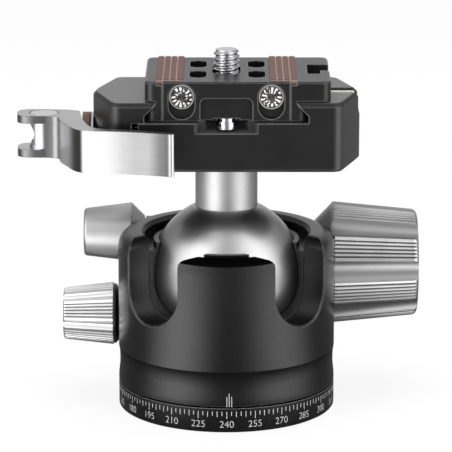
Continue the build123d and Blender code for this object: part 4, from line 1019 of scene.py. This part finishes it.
screwLook = {
    "radius": 3.175,              # mm
    "pitch": 1.27,
    "threadDepth": 0.62,
    "rootFlat": 1.3,              # above 1, the root is flat
    "low": 77.0,
    "high": 86.53,
    "endBreak": 0.7,
    "around": 72,
    "ringsPerTurn": 14,
    "headBelow": 0.1,             # under the thread's foot, where the frame's own shape stays
    "shankReach": 0.1,            # outside the radius, still the frame's plain shank
    "smoothBelow": 35.0,
}


def growThread():
    turnsInAll = (screwLook["high"] - screwLook["low"]) / screwLook["pitch"]
    sizes = {
        "Radius": screwLook["radius"] * mm, "Pitch": screwLook["pitch"] * mm,
        "Depth": screwLook["threadDepth"] * mm, "Low": screwLook["low"] * mm, "High": screwLook["high"] * mm,
        "End": screwLook["endBreak"] * mm, "Around": screwLook["around"],
        "Rings": int(turnsInAll * screwLook["ringsPerTurn"])}
    tree, inputs, outputs = newTree("screwThread", sizes)
    length = mathOf(tree, "SUBTRACT", inputs.outputs["High"], inputs.outputs["Low"])
    shaft = tree.nodes.new("GeometryNodeMeshCylinder")
    tree.links.new(inputs.outputs["Around"], shaft.inputs["Vertices"])
    tree.links.new(inputs.outputs["Rings"], shaft.inputs["Side Segments"])
    tree.links.new(inputs.outputs["Radius"], shaft.inputs["Radius"])
    tree.links.new(length, shaft.inputs["Depth"])
    spot = tree.nodes.new("GeometryNodeInputPosition")
    x, y, z = splitVector(tree, spot.outputs[0])
    around = mathOf(tree, "DIVIDE", mathOf(tree, "ARCTAN2", y, x), 2 * math.pi)
    turns = mathOf(tree, "DIVIDE", z, inputs.outputs["Pitch"])
    phase = mathOf(tree, "FRACT", mathOf(tree, "SUBTRACT", turns, around))
    crest = mathOf(tree, "ABSOLUTE", mathOf(tree, "SUBTRACT", mathOf(tree, "MULTIPLY", phase, 2.0), 1.0))
    flat = mathOf(tree, "MINIMUM", mathOf(tree, "MULTIPLY", crest, screwLook["rootFlat"]), 1.0)
    thread = mathOf(tree, "MULTIPLY", flat, inputs.outputs["Depth"])
    toEnd = mathOf(tree, "SUBTRACT", mathOf(tree, "MULTIPLY", length, 0.5), z)
    ending = mathOf(tree, "MAXIMUM", mathOf(tree, "SUBTRACT", inputs.outputs["End"], toEnd), 0.0)
    inward = mathOf(tree, "MAXIMUM", thread, ending)
    share = mathOf(tree, "SUBTRACT", 1.0, mathOf(tree, "DIVIDE", inward, inputs.outputs["Radius"]))
    lift = mathOf(tree, "MULTIPLY", mathOf(tree, "ADD", inputs.outputs["High"], inputs.outputs["Low"]), 0.5)
    moved = combine(tree, mathOf(tree, "MULTIPLY", x, share), mathOf(tree, "MULTIPLY", y, share),
                    mathOf(tree, "ADD", z, lift))
    place = tree.nodes.new("GeometryNodeSetPosition")
    tree.links.new(shaft.outputs["Mesh"], place.inputs["Geometry"])
    tree.links.new(moved, place.inputs["Position"])
    finishTree(tree, place.outputs[0], outputs, materials["polishedSteel"])
    return growMesh("screwThread", tree, sizes)


def makeCameraScrew():
    # the head comes from the frame's solid, the shank is the threaded shaft
    head = mergedCopy("camera_screw")
    shape = bmesh.new()
    shape.from_mesh(head)
    limit = (screwLook["low"] - screwLook["headBelow"]) * mm
    reach = (screwLook["radius"] + screwLook["shankReach"]) * mm
    gone = [v for v in shape.verts if v.co.z > limit and math.hypot(v.co.x, v.co.y) < reach]
    bmesh.ops.delete(shape, geom=gone, context="VERTS")
    shape.to_mesh(head)
    shape.free()
    mesh = joinMeshes("camera_screw_threaded", [head, growThread()])
    shadeByAngle(mesh, screwLook["smoothBelow"])
    piece = addPiece("camera_screw_threaded", mesh, "polishedSteel", "camera_screw")
    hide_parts("camera_screw")


for node in wear:
    dressNode(node, dial["inset"] if node in ("base", "housing") else 0.0)
print("stage: %d solids dressed" % len(wear))

addPiece("dial_ticks", growTicks(), "whiteFill", "base")
addPiece("dial_numbers", makeNumbers(), "whiteFill", "base")
addPiece("pan_index", makeIndex(), "whiteFill", "housing")
print("stage: dial with %d ticks" % dial["tickCount"])

addPiece("stop_screw_faces", growFans(), "fanHead", bodyOf["stop_screws"])
makeCameraScrew()
print("stage: screws")


# ---- end ----


print("stage: done")
